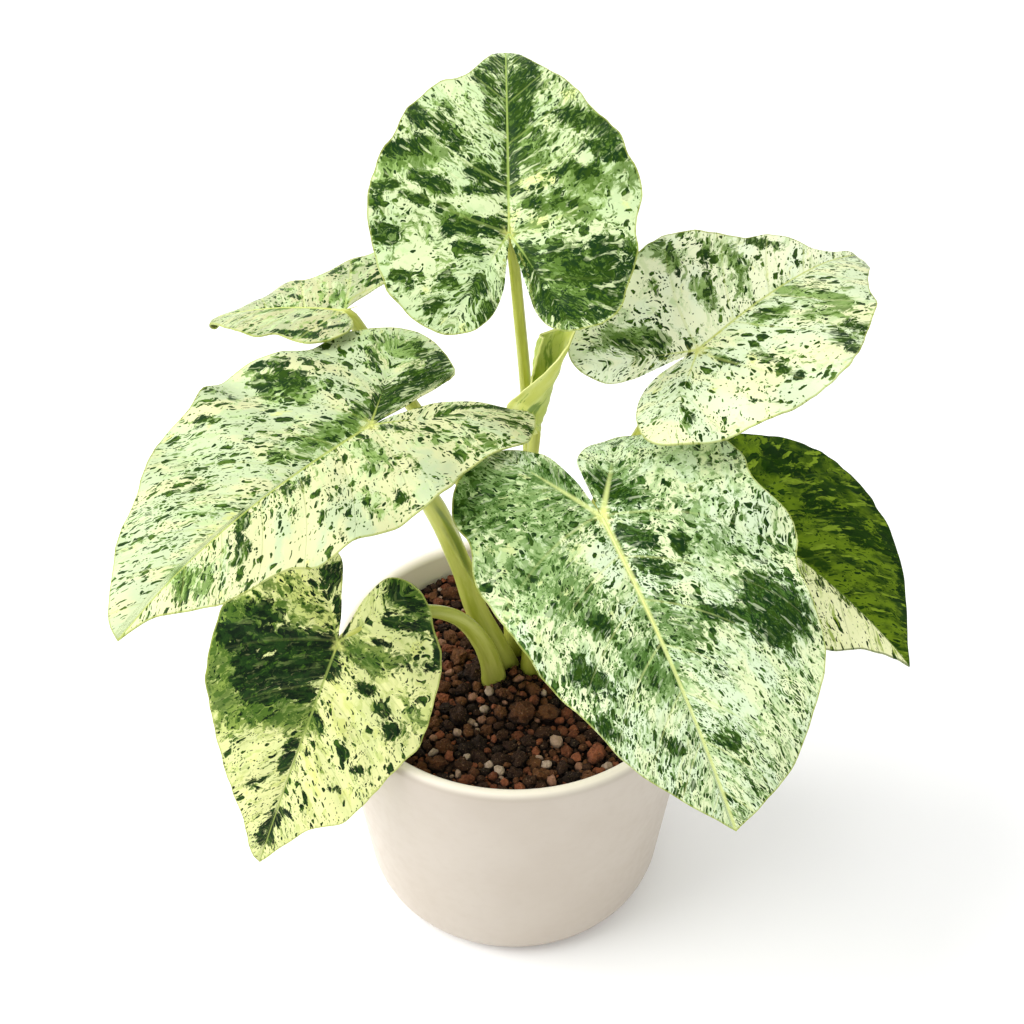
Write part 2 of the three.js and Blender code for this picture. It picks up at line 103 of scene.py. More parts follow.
# The open leaves. A blade is a bent sheet. Its rib starts at "at", where the stalk joins, and runs
# towards "heading" at "slope", losing "droop" degrees by its "length". Past the first number of
# "hook" the tip also turns down, by the second in degrees over each HOOK_LENGTH. Each half rises
# from the rib by its fold, which eases off towards the tip, and flattens by its cup, and its lobe
# drops behind the stalk. A wave has its height and length, the quilt is the height of the swell
# between veins, and "rib" and "costae" are the rib's thickness and the length of the lobes' ribs.
# The left half comes first in every pair. Both margins run from the tip to the notch behind the
# stalk, as distances along and beside the rib.
PLAIN_LEAF = dict(hook=(0, 0), lobes=(0, 0), cups=(-10, -10), ease=0.7, wave=(0, 30))
LEAVES = {
    "a": dict(at=(-2, 11, 336.4), heading=91, slope=32, roll=0, length=86, droop=30, power=1.6,
        hook=(84, 75), lobes=(14, 14), folds=(8, 8), cups=(-8, -8), wave=(1.6, 34), seed=1, quilt=0.6,
        rib=0.42, costae=(12, 14),
        left=[(99, 0), (93, 2.5), (84, 6), (74, 13), (69, 18), (66.5, 25), (55, 36.5), (40, 42.5),
            (30, 49), (14, 52.5), (2, 52), (-13, 49), (-25, 44), (-35, 34), (-39, 25), (-38, 14),
            (-32, 6.5), (-22, 2.5), (-9, 2)],
        right=[(99, 0), (93, 3.5), (84, 6.5), (74, 16), (69, 21), (55, 31), (40, 42), (30, 45), (18, 50),
            (0, 47), (-10, 47.5), (-21, 44), (-33, 39), (-37, 31), (-38, 17), (-32, 10), (-16, 6.5),
            (-7, 3)]),
    "b": dict(at=(71, 10, 283), heading=37, slope=20, roll=12, length=96, droop=50, power=1.6,
        hook=(88, 40), folds=(14, 14), wave=(1.6, 34), seed=2, quilt=0.6, rib=0.4, costae=(12, 12),
        left=[(104, 0), (92, 2), (79, 4), (70, 8), (65, 15), (58, 22), (47, 25), (42, 30), (29, 44),
            (22, 47), (3, 44), (-12, 44), (-28, 39), (-38, 33), (-40, 25), (-36, 13), (-28, 8), (-14, 6),
            (-6, 3)],
        right=[(104, 0), (97, 4), (89, 9), (81, 14), (70, 23), (67, 29), (51, 40), (32, 49.5), (16, 49.5),
            (2, 49), (-9, 44), (-26, 37), (-36, 29), (-42, 18), (-40, 10), (-36, 4.5), (-30, 0),
            (-21, -2), (-14, -1.6), (-6, -0.9)]),
    "c": dict(at=(-69.5, 52, 271.2), heading=156, slope=-12, roll=2, length=68, droop=20.5, power=1.4,
        hook=(66.5, 400), folds=(0, 13), cups=(-6, -6), ease=3, seed=3, quilt=0.5, rib=0.4, costae=(6, 8),
        left=[(76, 0), (69, 3.5), (60, 7), (46, 15), (35, 20), (28, 22), (21, 20.5), (12, 23), (2, 25.5),
            (-6, 22), (-11, 16), (-10, 9), (-4, 3)],
        right=[(76, 0), (69, 3), (62, 5.5), (56, 8.5), (52, 11), (49, 17), (45, 22), (40, 22.5), (34, 21),
            (28, 19.5), (22, 20.5), (16, 26), (4, 33.5), (-4, 37), (-12, 31), (-15, 22), (-10, 15),
            (-3, 8), (-1, 3)]),
    "d": dict(at=(-55, -17, 267.3), heading=227.6, slope=2, roll=-5, length=131, droop=34, power=1.6,
        folds=(4, 4), cups=(-8, -12), wave=(1.6, 40), seed=4, quilt=0.6, rib=0.36, costae=(8, 14),
        left=[(131, 0), (126, 1.5), (118, 5), (107, 15), (97, 23), (85, 28), (73, 31), (64, 38), (46, 41),
            (36, 44), (6, 46), (-9, 42), (-23, 44), (-34, 48), (-47, 43), (-52, 37), (-47, 29), (-30, 10),
            (-10, 2.5)],
        right=[(131, 0), (129, 6), (118, 16.5), (100, 31), (86, 37), (57, 54.5), (43, 55), (30, 60),
            (10, 62), (-2, 55), (-15, 50), (-28, 50.5), (-41, 40), (-51, 32), (-54, 21), (-51, 8),
            (-46, -0.8), (-38, -1.4), (-27, -1.2), (-16, -1), (-5, -0.5)]),
    "e": dict(at=(-71.5, -35, 168), heading=234, slope=-53, roll=-25, length=108, droop=24, power=1.5,
        folds=(10, 10), wave=(1, 34), seed=5, quilt=1.4, rib=0.36, costae=(8, 8),
        left=[(108, 0), (102, 3), (91, 9), (79, 17), (72, 27), (60, 33), (36, 42), (27, 46), (12, 46),
            (-8, 43), (-16, 39), (-22, 34), (-29, 30), (-35, 19), (-33, 10), (-21, 4), (-8, 2)],
        right=[(108, 0), (103, 5), (92, 10), (69, 25), (51, 36), (36, 44), (22, 48), (4, 49), (-14, 44),
            (-27, 35), (-36, 22), (-35, 12), (-21, 6), (-8, 2)]),
    "f": dict(at=(33, -50, 250), heading=292.5, slope=-15, roll=8, length=130, droop=34, power=1.5,
        lobes=(45, 0), folds=(6, 6), cups=(-12, -12), wave=(1.5, 44), seed=6, quilt=0.7, rib=0.7,
        costae=(12, 13),
        left=[(130, 0), (127, 6), (116, 27), (102, 40), (79, 57), (64, 59), (48, 59), (33, 66), (25, 67),
            (9, 59), (-10, 62), (-21, 56), (-28, 42), (-34, 26), (-39, 12), (-34, 3.5), (-24, 1.5),
            (-12, 0.6), (-5, 0.2)],
        right=[(130, 0), (124, 5), (108, 19), (92, 30), (74, 37), (59, 44), (41, 49), (18, 53), (8, 55),
            (-5, 51), (-22, 52), (-33, 47), (-41, 33), (-40, 22), (-33, 10), (-20, 4), (-7, 1.5)]),
    "g": dict(at=(88, 15, 197), heading=324.5, slope=-12, roll=0, length=100, droop=30, power=1.5,
        folds=(12, 12), seed=7, quilt=0.7, rib=0.4, costae=(8, 8),
        left=[(100, 0), (93, 6), (84, 17), (64, 36), (41, 48), (22, 51.5), (8, 50), (-4, 45), (-18, 34),
            (-27, 22), (-27, 12), (-17, 5), (-6, 1.5)],
        right=[(100, 0), (93, 4), (81, 14), (68, 31), (52, 41), (30, 48), (10, 47), (-8, 41), (-20, 31),
            (-27, 18), (-22, 9), (-8, 2)]),
}

# The places each stalk passes, its radius at each, and how much it widens where it leaves the mix.
STALKS = {
    "a": dict(path=[(7.5, 6.5, 109.3), (7.8, 9, 150), (6.7, 13, 215), (4.8, 14.5, 257), (2, 13.4, 295),
            (-0.5, 11.6, 325), (-2, 11.6, 334), (-2, 15, 337.6), (-2, 21, 341)],
        radii=[4.2, 3.6, 2.9, 2.4, 2.3, 2.2, 2.3, 2, 1]),
    "b": dict(path=[(15.5, 5, 109.3), (17, 5.5, 140), (28, 7, 190), (50, 8.5, 243), (66, 9.5, 275),
            (70, 10, 281), (74, 12.2, 284.4), (80, 16.6, 286.5)],
        radii=[3.6, 3.2, 2.7, 2.3, 2.3, 2.3, 2, 1], flare=0.35),
    "c": dict(path=[(0, 13.5, 109.3), (-2, 16, 140), (-22, 29, 200), (-48, 43, 240), (-61, 49.2, 260),
            (-67, 51.4, 268.6), (-71.5, 53, 270.2), (-77, 55.4, 268.6)],
        radii=[4.2, 3.8, 3.1, 3, 3, 2.9, 2.4, 1.2]),
    "d": dict(path=[(-2, 4, 109.3), (-6, 2.6, 125), (-16, 0.5, 153), (-21.5, -3.5, 180), (-32, -9.5, 219),
            (-46, -14.4, 250), (-53, -16.4, 263), (-57, -19.4, 266.2), (-62.6, -25.6, 266.4)],
        radii=[5.2, 5, 4.7, 4.4, 4.6, 3.3, 2.9, 2.4, 1.1], flare=0.25),
    "e": dict(path=[(-8.5, -5, 109.3), (-9, -6.6, 122), (-13.5, -9.8, 143), (-23, -14.6, 162),
            (-36, -21, 172.5), (-52, -28, 174.5), (-66, -33, 171), (-71, -34.2, 167.3),
            (-73.4, -37, 162.5)],
        radii=[4.9, 4.8, 4.1, 3.2, 2.7, 2.5, 2.4, 2.1, 1], flare=0.36),
    "f": dict(path=[(14, -3.5, 109.3), (15, -5, 130), (22, -16, 185), (29, -34, 228),
            (32.2, -45.5, 244.5), (33.2, -49.8, 248.8), (35, -54.4, 248.4), (37.6, -61, 245.6)],
        radii=[3.7, 3.6, 3, 2.7, 2.6, 2.5, 2, 1], flare=0.7),
    "g": dict(path=[(9, 14.8, 109.3), (14, 15, 132), (36, 16, 165), (68, 16, 190), (83, 15.2, 195.4),
            (88, 14.4, 195.4), (93, 11.2, 194), (99, 6.6, 191.6)],
        radii=[3.6, 3.4, 3, 2.6, 2.5, 2.3, 1.9, 1], flare=0.3),
    "h": dict(path=[(6.5, -1.6, 109.3), (6.6, -1, 140), (6.4, 1.6, 190), (6.7, 4, 225), (8.2, 5.6, 245),
            (8.6, 6, 254)],
        radii=[3.6, 3.2, 2.7, 2.4, 2.4, 1.2], flare=0.5),
}

# The furled leaf. Each row crosses its sheet once, from the free front edge, round the right side
# and the back, to the edge tucked inside. The rows climb to the tip.
FURL = [
    [(6.9, 4.6, 246), (8.3, 3.9, 246), (9.9, 4.9, 246), (10.1, 6.6, 246), (8.6, 7.5, 246),
        (6.8, 6.8, 246), (6.5, 5.6, 246)],
    [(-3, 2, 260.8), (1.8, 1.2, 259.6), (6.8, 0.8, 258.6), (12, 3.2, 258), (12, 7.6, 258),
        (8.6, 9.8, 258), (6, 7.2, 258.5)],
    [(1.8, 1, 268), (6.2, 0.4, 267), (11, 0.6, 266.2), (14, 3.6, 266), (13, 7.8, 266), (9, 9.8, 266),
        (6.4, 7.6, 266.5)],
    [(11.2, 0.5, 278.5), (14, 0.8, 276.6), (16.4, 3, 275.6), (16, 6.6, 275), (12, 9.4, 275),
        (7.6, 8.6, 275), (7.8, 5.8, 275.5)],
    [(18.3, 1.5, 287.6), (19, 2.4, 286.4), (19.6, 4, 285.6), (17.6, 7.4, 284.6), (13, 9.4, 284),
        (8.4, 8, 284), (9.4, 5.4, 284.5)],
    [(22, 2.6, 295.4), (22.2, 3.4, 294.8), (22, 4.8, 294), (18.8, 7.4, 291.4), (14, 8.8, 289.4),
        (9, 7.4, 288.6), (10.4, 5.2, 289)],
    [(23.6, 3.6, 302), (23.6, 4, 301.8), (23.2, 4.8, 301), (19.6, 7, 296.6), (15, 8, 293.8),
        (10, 6.8, 292.4), (11.4, 5.2, 292.4)],
]

# Patches of each leaf, noted on an enlarged view of the photo. The view's left and top in
# the photo's pixels and its scale come first. A patch runs from one place to another, across and
# down in the view's pixels, and ends with its half width there and its strength.
PATCHES = {
    "a": dict(
        view=(355, 40, 5.227),
        dark=[(860, 200, 845, 440, 60, 1), (825, 440, 812, 760, 34, 0.95), (880, 120, 925, 170, 40, 0.9),
            (930, 225, 935, 240, 42, 0.95), (1110, 390, 1230, 440, 55, 0.85),
            (1250, 560, 1380, 600, 45, 0.95), (1290, 430, 1350, 520, 50, 0.85),
            (760, 120, 710, 150, 45, 0.8), (650, 190, 720, 260, 40, 0.85), (320, 365, 350, 430, 45, 0.9),
            (430, 440, 540, 530, 40, 0.75), (190, 590, 350, 545, 38, 1), (330, 720, 460, 770, 38, 0.85),
            (640, 690, 740, 740, 48, 0.9), (590, 790, 700, 800, 25, 0.7), (110, 770, 190, 770, 32, 0.85),
            (100, 830, 105, 860, 28, 0.9), (250, 810, 340, 840, 25, 0.8), (500, 975, 740, 970, 42, 1),
            (540, 1080, 650, 1100, 26, 0.9), (140, 1000, 210, 1030, 38, 0.8),
            (200, 1220, 260, 1240, 28, 0.7), (470, 1230, 500, 1270, 32, 0.8),
            (640, 1270, 660, 1310, 34, 0.85), (390, 1390, 440, 1390, 26, 0.75),
            (710, 1390, 690, 1460, 28, 0.9), (900, 1130, 960, 1230, 60, 0.75),
            (1000, 1370, 1130, 1420, 60, 0.95), (1060, 1120, 1180, 1150, 50, 0.85),
            (1290, 1110, 1340, 1250, 62, 1), (1180, 1230, 1330, 1350, 62, 1),
            (1250, 1430, 1350, 1400, 40, 0.8), (1180, 690, 1230, 690, 36, 0.85),
            (1060, 690, 1150, 640, 28, 0.7), (900, 820, 960, 870, 35, 0.6),
            (1050, 850, 1140, 870, 26, 0.65), (1370, 1080, 1450, 1110, 30, 0.6),
            (1440, 1190, 1400, 1260, 22, 0.8), (950, 500, 900, 620, 40, 0.45),
            (420, 300, 480, 380, 30, 0.5), (700, 330, 745, 440, 26, 0.6)],
        sage=[(190, 640, 400, 600, 40, 1), (480, 915, 600, 920, 30, 0.8),
            (1040, 1200, 1160, 1330, 60, 0.9), (1180, 760, 1400, 730, 60, 0.9),
            (1060, 860, 1200, 900, 50, 0.8), (880, 520, 960, 600, 60, 0.7)],
        lime=[(985, 200, 1100, 300, 40, 0.8), (860, 760, 1050, 700, 40, 0.9),
            (870, 930, 1080, 950, 50, 0.8)],
        bare=[(460, 250, 560, 220, 60, 0.8), (1180, 620, 1220, 600, 30, 0.9),
            (1380, 720, 1420, 900, 50, 0.8), (560, 850, 700, 880, 40, 0.6),
            (300, 1130, 420, 1180, 40, 0.5)]),
    "d": dict(
        view=(95, 320, 3.484),
        dark=[(575, 215, 590, 220, 40, 1), (650, 200, 710, 215, 40, 1), (560, 165, 660, 150, 24, 0.85),
            (985, 330, 1020, 250, 38, 1), (1040, 270, 1180, 180, 40, 1), (1130, 190, 1220, 200, 34, 0.95),
            (1120, 90, 1135, 130, 22, 0.9), (1200, 130, 1220, 160, 26, 0.9),
            (960, 110, 970, 150, 20, 0.85), (990, 65, 1005, 75, 16, 0.8), (430, 245, 480, 270, 24, 0.8),
            (360, 355, 400, 350, 16, 0.95), (360, 378, 390, 378, 10, 0.7), (870, 345, 910, 370, 22, 0.75),
            (760, 430, 830, 415, 20, 0.8), (925, 300, 940, 330, 26, 0.85), (730, 565, 650, 600, 24, 0.75),
            (525, 690, 500, 760, 26, 0.9), (520, 790, 490, 840, 28, 0.9), (300, 890, 290, 950, 26, 0.75),
            (1250, 308, 1430, 310, 10, 0.95), (1300, 410, 1400, 450, 18, 0.3),
            (1410, 350, 1500, 375, 16, 0.75), (1060, 610, 1080, 630, 22, 0.65),
            (1000, 375, 1060, 380, 18, 0.75), (860, 735, 870, 760, 16, 0.75),
            (345, 590, 370, 585, 13, 0.8), (610, 470, 660, 475, 12, 0.8), (130, 890, 170, 900, 10, 0.6),
            (1090, 480, 1120, 520, 20, 0.5), (680, 670, 690, 705, 12, 0.8)],
        sage=[(600, 260, 740, 250, 40, 0.8), (1020, 90, 1100, 110, 50, 0.9), (880, 355, 750, 440, 45, 1),
            (290, 900, 290, 950, 34, 0.9), (385, 890, 370, 940, 30, 0.95),
            (1160, 415, 1380, 440, 38, 0.5), (940, 440, 990, 480, 34, 1), (950, 520, 990, 525, 22, 0.9),
            (960, 620, 1000, 670, 28, 0.8), (300, 480, 420, 470, 40, 0.3), (320, 680, 460, 640, 40, 0.4),
            (640, 470, 760, 480, 30, 0.7)],
        lime=[(380, 760, 520, 700, 40, 0.5)],
        bare=[(640, 800, 840, 720, 80, 0.9), (120, 980, 260, 960, 50, 0.8),
            (980, 720, 1010, 730, 40, 0.7), (760, 320, 850, 300, 30, 0.4)]),
    "f": dict(
        view=(440, 420, 3.267),
        dark=[(500, 180, 560, 250, 22, 0.9), (570, 220, 620, 250, 26, 0.7), (595, 370, 680, 395, 26, 0.9),
            (660, 470, 740, 500, 22, 0.85), (775, 380, 790, 420, 22, 0.8), (1040, 570, 1140, 640, 56, 1),
            (1060, 670, 1100, 700, 34, 0.9), (880, 630, 1000, 640, 24, 0.85),
            (500, 650, 540, 680, 26, 0.85), (50, 290, 190, 350, 40, 0.35), (350, 170, 400, 200, 22, 0.5),
            (450, 820, 540, 880, 30, 0.75), (660, 780, 700, 850, 22, 0.55),
            (530, 970, 560, 1020, 24, 0.6), (750, 1050, 785, 1075, 16, 0.8),
            (920, 1035, 955, 1060, 16, 0.8)],
        sage=[(560, 180, 650, 280, 42, 0.5), (80, 170, 200, 210, 46, 0.8), (330, 180, 440, 240, 46, 0.6),
            (60, 260, 400, 320, 90, 0.6), (200, 420, 420, 560, 90, 0.6), (650, 780, 730, 860, 46, 0.8),
            (820, 300, 900, 420, 50, 0.4), (700, 620, 800, 700, 50, 0.6), (300, 420, 420, 520, 50, 0.7)],
        lime=[(100, 200, 300, 300, 120, 1), (200, 400, 420, 560, 110, 0.9)],
        bare=[(150, 420, 260, 440, 30, 0.6), (480, 420, 560, 500, 40, 0.7),
            (1000, 900, 1060, 800, 40, 0.5)]),
    "b": dict(
        view=(560, 220, 4.825),
        dark=[(920, 100, 1030, 120, 32, 1), (860, 190, 890, 230, 26, 0.85), (665, 110, 730, 380, 18, 0.7),
            (550, 180, 575, 300, 18, 0.7), (440, 295, 465, 365, 18, 0.7), (280, 590, 480, 580, 34, 1),
            (335, 640, 395, 645, 14, 0.85), (455, 640, 485, 660, 16, 0.85), (150, 610, 215, 620, 18, 0.7),
            (935, 400, 955, 415, 16, 0.85), (970, 475, 1070, 435, 18, 0.7),
            (1330, 560, 1450, 620, 50, 0.85), (1380, 500, 1460, 520, 32, 0.85),
            (940, 630, 1150, 740, 26, 0.8), (780, 680, 860, 690, 26, 0.75), (580, 790, 630, 790, 14, 0.8),
            (600, 870, 620, 980, 26, 0.7), (930, 875, 975, 875, 14, 0.7), (1300, 175, 1335, 185, 14, 0.7),
            (1390, 185, 1440, 190, 14, 0.7), (1460, 225, 1480, 235, 10, 0.7),
            (720, 130, 740, 200, 16, 0.6)],
        sage=[(430, 130, 550, 180, 46, 1), (660, 330, 710, 390, 40, 0.9), (240, 570, 420, 560, 46, 0.9),
            (1090, 340, 1380, 390, 44, 1), (1200, 440, 1330, 450, 34, 1), (960, 475, 1080, 430, 32, 0.9),
            (800, 130, 880, 330, 44, 0.7)],
        bare=[(560, 350, 600, 420, 40, 0.6), (1150, 550, 1280, 560, 40, 0.7),
            (700, 860, 860, 820, 60, 0.6)]),
    "c": dict(
        view=(205, 245, 8.041),
        dark=[(1030, 225, 1100, 190, 26, 0.9), (1060, 420, 1090, 370, 20, 0.7),
            (1330, 280, 1395, 225, 14, 0.8), (1310, 325, 1430, 275, 14, 0.7),
            (705, 410, 765, 430, 16, 0.8), (480, 545, 700, 500, 14, 0.6), (740, 575, 840, 580, 20, 0.75),
            (610, 700, 710, 720, 26, 0.9), (770, 715, 880, 735, 36, 1), (970, 675, 1130, 650, 22, 0.75)],
        sage=[(1050, 430, 1100, 350, 40, 0.9), (580, 365, 680, 365, 18, 0.8),
            (460, 550, 710, 495, 28, 0.9)]),
    "e": dict(
        view=(200, 550, 3.12),
        dark=[(110, 185, 230, 195, 42, 0.75), (90, 270, 390, 300, 52, 1), (140, 370, 370, 370, 54, 1),
            (160, 450, 330, 440, 32, 0.9), (150, 510, 290, 520, 24, 0.5), (290, 600, 260, 680, 20, 0.75),
            (200, 900, 235, 830, 24, 0.75), (160, 740, 200, 720, 20, 0.6), (280, 90, 390, 220, 24, 0.25),
            (400, 110, 440, 60, 24, 0.8), (425, 150, 432, 210, 12, 0.8), (395, 70, 410, 50, 16, 0.8),
            (610, 130, 680, 175, 32, 0.9), (590, 215, 690, 235, 22, 0.85), (545, 285, 590, 295, 12, 0.75),
            (742, 260, 748, 350, 12, 0.95), (480, 320, 540, 350, 22, 0.6), (495, 425, 530, 440, 20, 0.75),
            (560, 500, 600, 570, 26, 0.72), (360, 520, 380, 570, 16, 0.75), (440, 620, 450, 650, 12, 0.8),
            (480, 680, 510, 690, 14, 0.75), (410, 740, 430, 750, 12, 0.8), (255, 810, 280, 820, 14, 0.7),
            (330, 620, 340, 640, 8, 0.7), (600, 340, 720, 370, 26, 0.5), (440, 270, 455, 225, 7, 1)],
        sage=[(40, 290, 60, 400, 40, 1), (40, 400, 100, 520, 50, 1), (100, 500, 320, 520, 44, 1),
            (80, 210, 200, 200, 40, 0.9), (320, 330, 400, 330, 26, 0.9), (240, 100, 330, 200, 40, 0.5),
            (620, 100, 690, 180, 40, 0.8), (490, 310, 560, 350, 34, 0.9), (650, 480, 700, 560, 30, 0.6)],
        lime=[(430, 380, 460, 520, 40, 0.8), (330, 640, 420, 800, 50, 0.5), (290, 90, 400, 230, 50, 1)],
        bare=[(400, 420, 440, 560, 30, 0.6), (320, 720, 460, 800, 40, 0.5)]),
    "g": dict(
        view=(770, 420, 3.84),
        dark=[(20, 130, 180, 300, 56, 0.8), (200, 340, 370, 460, 44, 0.9), (330, 210, 420, 340, 34, 0.6),
            (440, 430, 500, 560, 30, 0.9), (505, 600, 525, 780, 20, 0.9), (120, 100, 260, 170, 20, 0.5),
            (180, 620, 330, 720, 24, 0.5)],
        bare=[(235, 740, 330, 850, 60, 1), (330, 800, 500, 910, 40, 0.8)]),
}

# Colours as a screen shows them, and where each layer of a leaf's paint starts. Where a value is
# given for both halves of a leaf, the left half comes first.
# Of these colours, pale is painted light, laid over one half of some leaves.
PLAIN_LOOK = dict(
    cream=(222, 226, 172), mint=(206, 222, 180), pale=(246, 253, 222),
    haze=(182, 206, 146), lime=(208, 214, 122), sage=(132, 164, 82), moss=(78, 110, 34),
    deep=(20, 48, 10), olive=(42, 70, 6), vein=(190, 202, 112), heart=(212, 216, 122),
    margin=(160, 170, 84), back=(176, 194, 136), strand=(206, 220, 166), strands=0.6, stretch=2.1,
    oval=1.5, lime_at=0.68, haze_at=0.5, sage_at=0.6, moss_at=0.69, dark_at=0.8, flecks=0.5, torn=0.6,
    veining=0.32, band=0.95, wash=0.88, grain=1.0, pull=0.56, shine=0.1, mint_half=(0, 0),
    painted_light_half=(0, 0), dark_half=(0, 0), sage_half=(0, 0),
)
LOOKS = {
    "a": dict(cream=(206, 220, 168), mint=(192, 213, 160), lime=(214, 224, 140), haze_at=0.47,
        sage_at=0.54, moss_at=0.61, dark_at=0.72, flecks=0.6, vein=(160, 184, 92), torn=0.7, strands=0.8,
        oval=1.7, pull=0.64, deep=(20, 50, 14), grain=1.3),
    "b": dict(mint_half=(-0.05, 0.05), haze_at=0.56, sage_at=0.66, moss_at=0.75, dark_at=0.83,
        flecks=0.55, painted_light_half=(0.5, 0.1)),
    "c": dict(cream=(182, 183, 136), mint=(166, 174, 132), dark_at=0.75, pull=0.8),
    "d": dict(cream=(209, 212, 160), mint=(188, 203, 160), haze_at=0.54, sage_at=0.67, moss_at=0.75,
        dark_at=0.84, flecks=0.75, veining=0.2, mint_half=(-0.12, 0.1), pull=0.68, oval=1.8,
        vein=(172, 186, 92)),
    "e": dict(cream=(224, 226, 158), mint=(214, 220, 152), haze=(186, 198, 114), lime_at=0.64,
        veining=0.15, deep=(6, 27, 6), olive=(28, 56, 16), moss=(60, 92, 24), sage=(122, 146, 56),
        torn=0.15, sage_at=0.66, flecks=0.5, vein=(150, 168, 84), strands=0.25, strand=(150, 172, 96),
        pull=0.7),
    "f": dict(cream=(216, 227, 178), mint=(206, 223, 186), haze=(166, 194, 134), sage=(128, 160, 92),
        moss=(70, 106, 40), deep=(12, 44, 8), stretch=1.3, oval=1.2, torn=0.35, lime=(190, 204, 130),
        haze_at=0.46, sage_at=0.56, moss_at=0.63, dark_at=0.75, flecks=0.75, veining=0.34,
        vein=(208, 219, 138), heart=(222, 226, 132), band=2.0, strand=(214, 228, 186), strands=0.4,
        pull=0.68, grain=1.15),
    "g": dict(dark_half=(0.12, 0), sage_half=(0.8, 0), wash=1.0, sage=(104, 130, 22), moss=(32, 60, 2),
        deep=(14, 42, 0), olive=(30, 60, 0), torn=0.7, painted_light_half=(0, 0.35), cream=(246, 246, 178),
        mint=(240, 242, 164), haze=(190, 206, 120), vein=(96, 124, 30), margin=(40, 66, 8), stretch=3.0,
        strand=(138, 164, 44), strands=0.8, shine=0.06),
}

# Grains placed one by one: where each lies from the pot's middle, its size and its kind.
CHOSEN_GRAINS = [
    (3, -26, 6.2, "lava"), (14, -25, 4.8, "lava"), (-15, -46, 4.6, "lava"), (2, -49, 4.5, "lava"),
    (11, -56, 4, "lava"), (34, -46, 5, "lava"), (-28, 52, 4.6, "lava"), (22, -43, 3.6, "lava"),
    (18, -38.5, 3.2, "pumice"), (-6, -54, 2.7, "pumice"), (15.5, -60, 3, "pumice"),
    (-18, -27, 2.4, "pumice"), (-13.5, -27.5, 2.3, "pumice"), (-10.5, -15, 2.5, "pumice"),
    (-4, -20.5, 1.5, "pumice"), (-24, -33, 2.6, "pumice"), (27, -52, 2.4, "pumice"),
    (-34, -44, 2.6, "pumice"), (-18, 27, 3.2, "pumice"),
]
# Sizes to draw for the other grains, from the largest down: smallest, largest and how many.
GRAIN_SIZES = ((3.6, 4.8, 46), (2.6, 3.6, 190), (1.7, 2.6, 560), (0.8, 1.7, 2100))
GRAIN_TRIES = 60
GRAIN_ROOM = 0.74
STEM_ROOM = 0.72
SEARCH_CELL = 12
BIG_GRAIN = 3.2
SMALL_GRAIN = 1.7
LAVA_TONES = ((116, 66, 42), (52, 33, 21), (142, 82, 54), (36, 25, 17), (92, 56, 32), (64, 40, 24),
              (104, 66, 38))
PUMICE_TONES = ((172, 144, 124), (148, 106, 84), (182, 160, 142))


# Helpers for all pieces.
def select_none():
    bpy.ops.object.select_all(action="DESELECT")


def select_only(piece):
    select_none()
    piece.select_set(True)
    bpy.context.view_layer.objects.active = piece


def apply_modifier(piece, kind, **settings):
    select_only(piece)
    modifier = piece.modifiers.new(kind, kind)
    for key, value in settings.items():
        setattr(modifier, key, value)
    bpy.ops.object.modifier_apply(modifier=modifier.name)


def merge(piece, reach, outwards=False):
    """Merges points that lie within reach of each other, and may turn the faces outwards."""
    select_only(piece)
    bpy.ops.object.mode_set(mode="EDIT")
    bpy.ops.mesh.select_all(action="SELECT")
    bpy.ops.mesh.remove_doubles(threshold=reach * MM)
    if outwards:
        bpy.ops.mesh.normals_make_consistent(inside=False)
    bpy.ops.object.mode_set(mode="OBJECT")


def smooth(piece, angle=40):
    select_only(piece)
    bpy.ops.object.shade_smooth_by_angle(angle=math.radians(angle))


def net(name, places):
    """A grid whose crossings lie at places, an array of rows of points."""
    rows, columns = places.shape[:2]
    select_none()
    bpy.ops.mesh.primitive_grid_add(x_subdivisions=columns - 1, y_subdivisions=rows - 1, size=1)
    piece = bpy.context.object
    piece.name = name
    piece.data.name = name
    piece.data.vertices.foreach_set("co", (places * MM).astype(np.float32).ravel())
    piece.data.update()
    return piece


def give(piece, name, values):
    """A value at each point, for the paint to read."""
    attribute = piece.data.attributes.new(name, "FLOAT", "POINT")
    attribute.data.foreach_set("value", np.asarray(values, np.float32).ravel())


def give_map(piece, name, across, along):
    """A UV map from one pair of values at each point."""
    layer = piece.data.uv_layers.new(name=name, do_init=False)
    corners = np.empty(len(piece.data.loops), np.int32)
    piece.data.loops.foreach_get("vertex_index", corners)
    pairs = np.stack([np.ravel(across), np.ravel(along)], -1)[corners]
    layer.data.foreach_set("uv", pairs.astype(np.float32).ravel())


def join(name, parts):
    select_none()
    for part in parts:
        part.select_set(True)
    bpy.context.view_layer.objects.active = parts[0]
    bpy.ops.object.join()
    parts[0].name = name
    parts[0].data.name = name
    return parts[0]


def wear(piece, *materials):
    piece.data.materials.clear()
    for material in materials:
        piece.data.materials.append(material)


def keep(piece, slot, *nodes):
    """Hands a finished piece to the frame."""
    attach(piece, "root")
    if nodes:
        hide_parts(*nodes)
    return piece


def unit(arrows):
    return arrows / np.linalg.norm(arrows, axis=-1)[..., None]


def lengths_along(line):
    return np.r_[0, np.cumsum(np.linalg.norm(np.diff(line, axis=0), axis=1))]


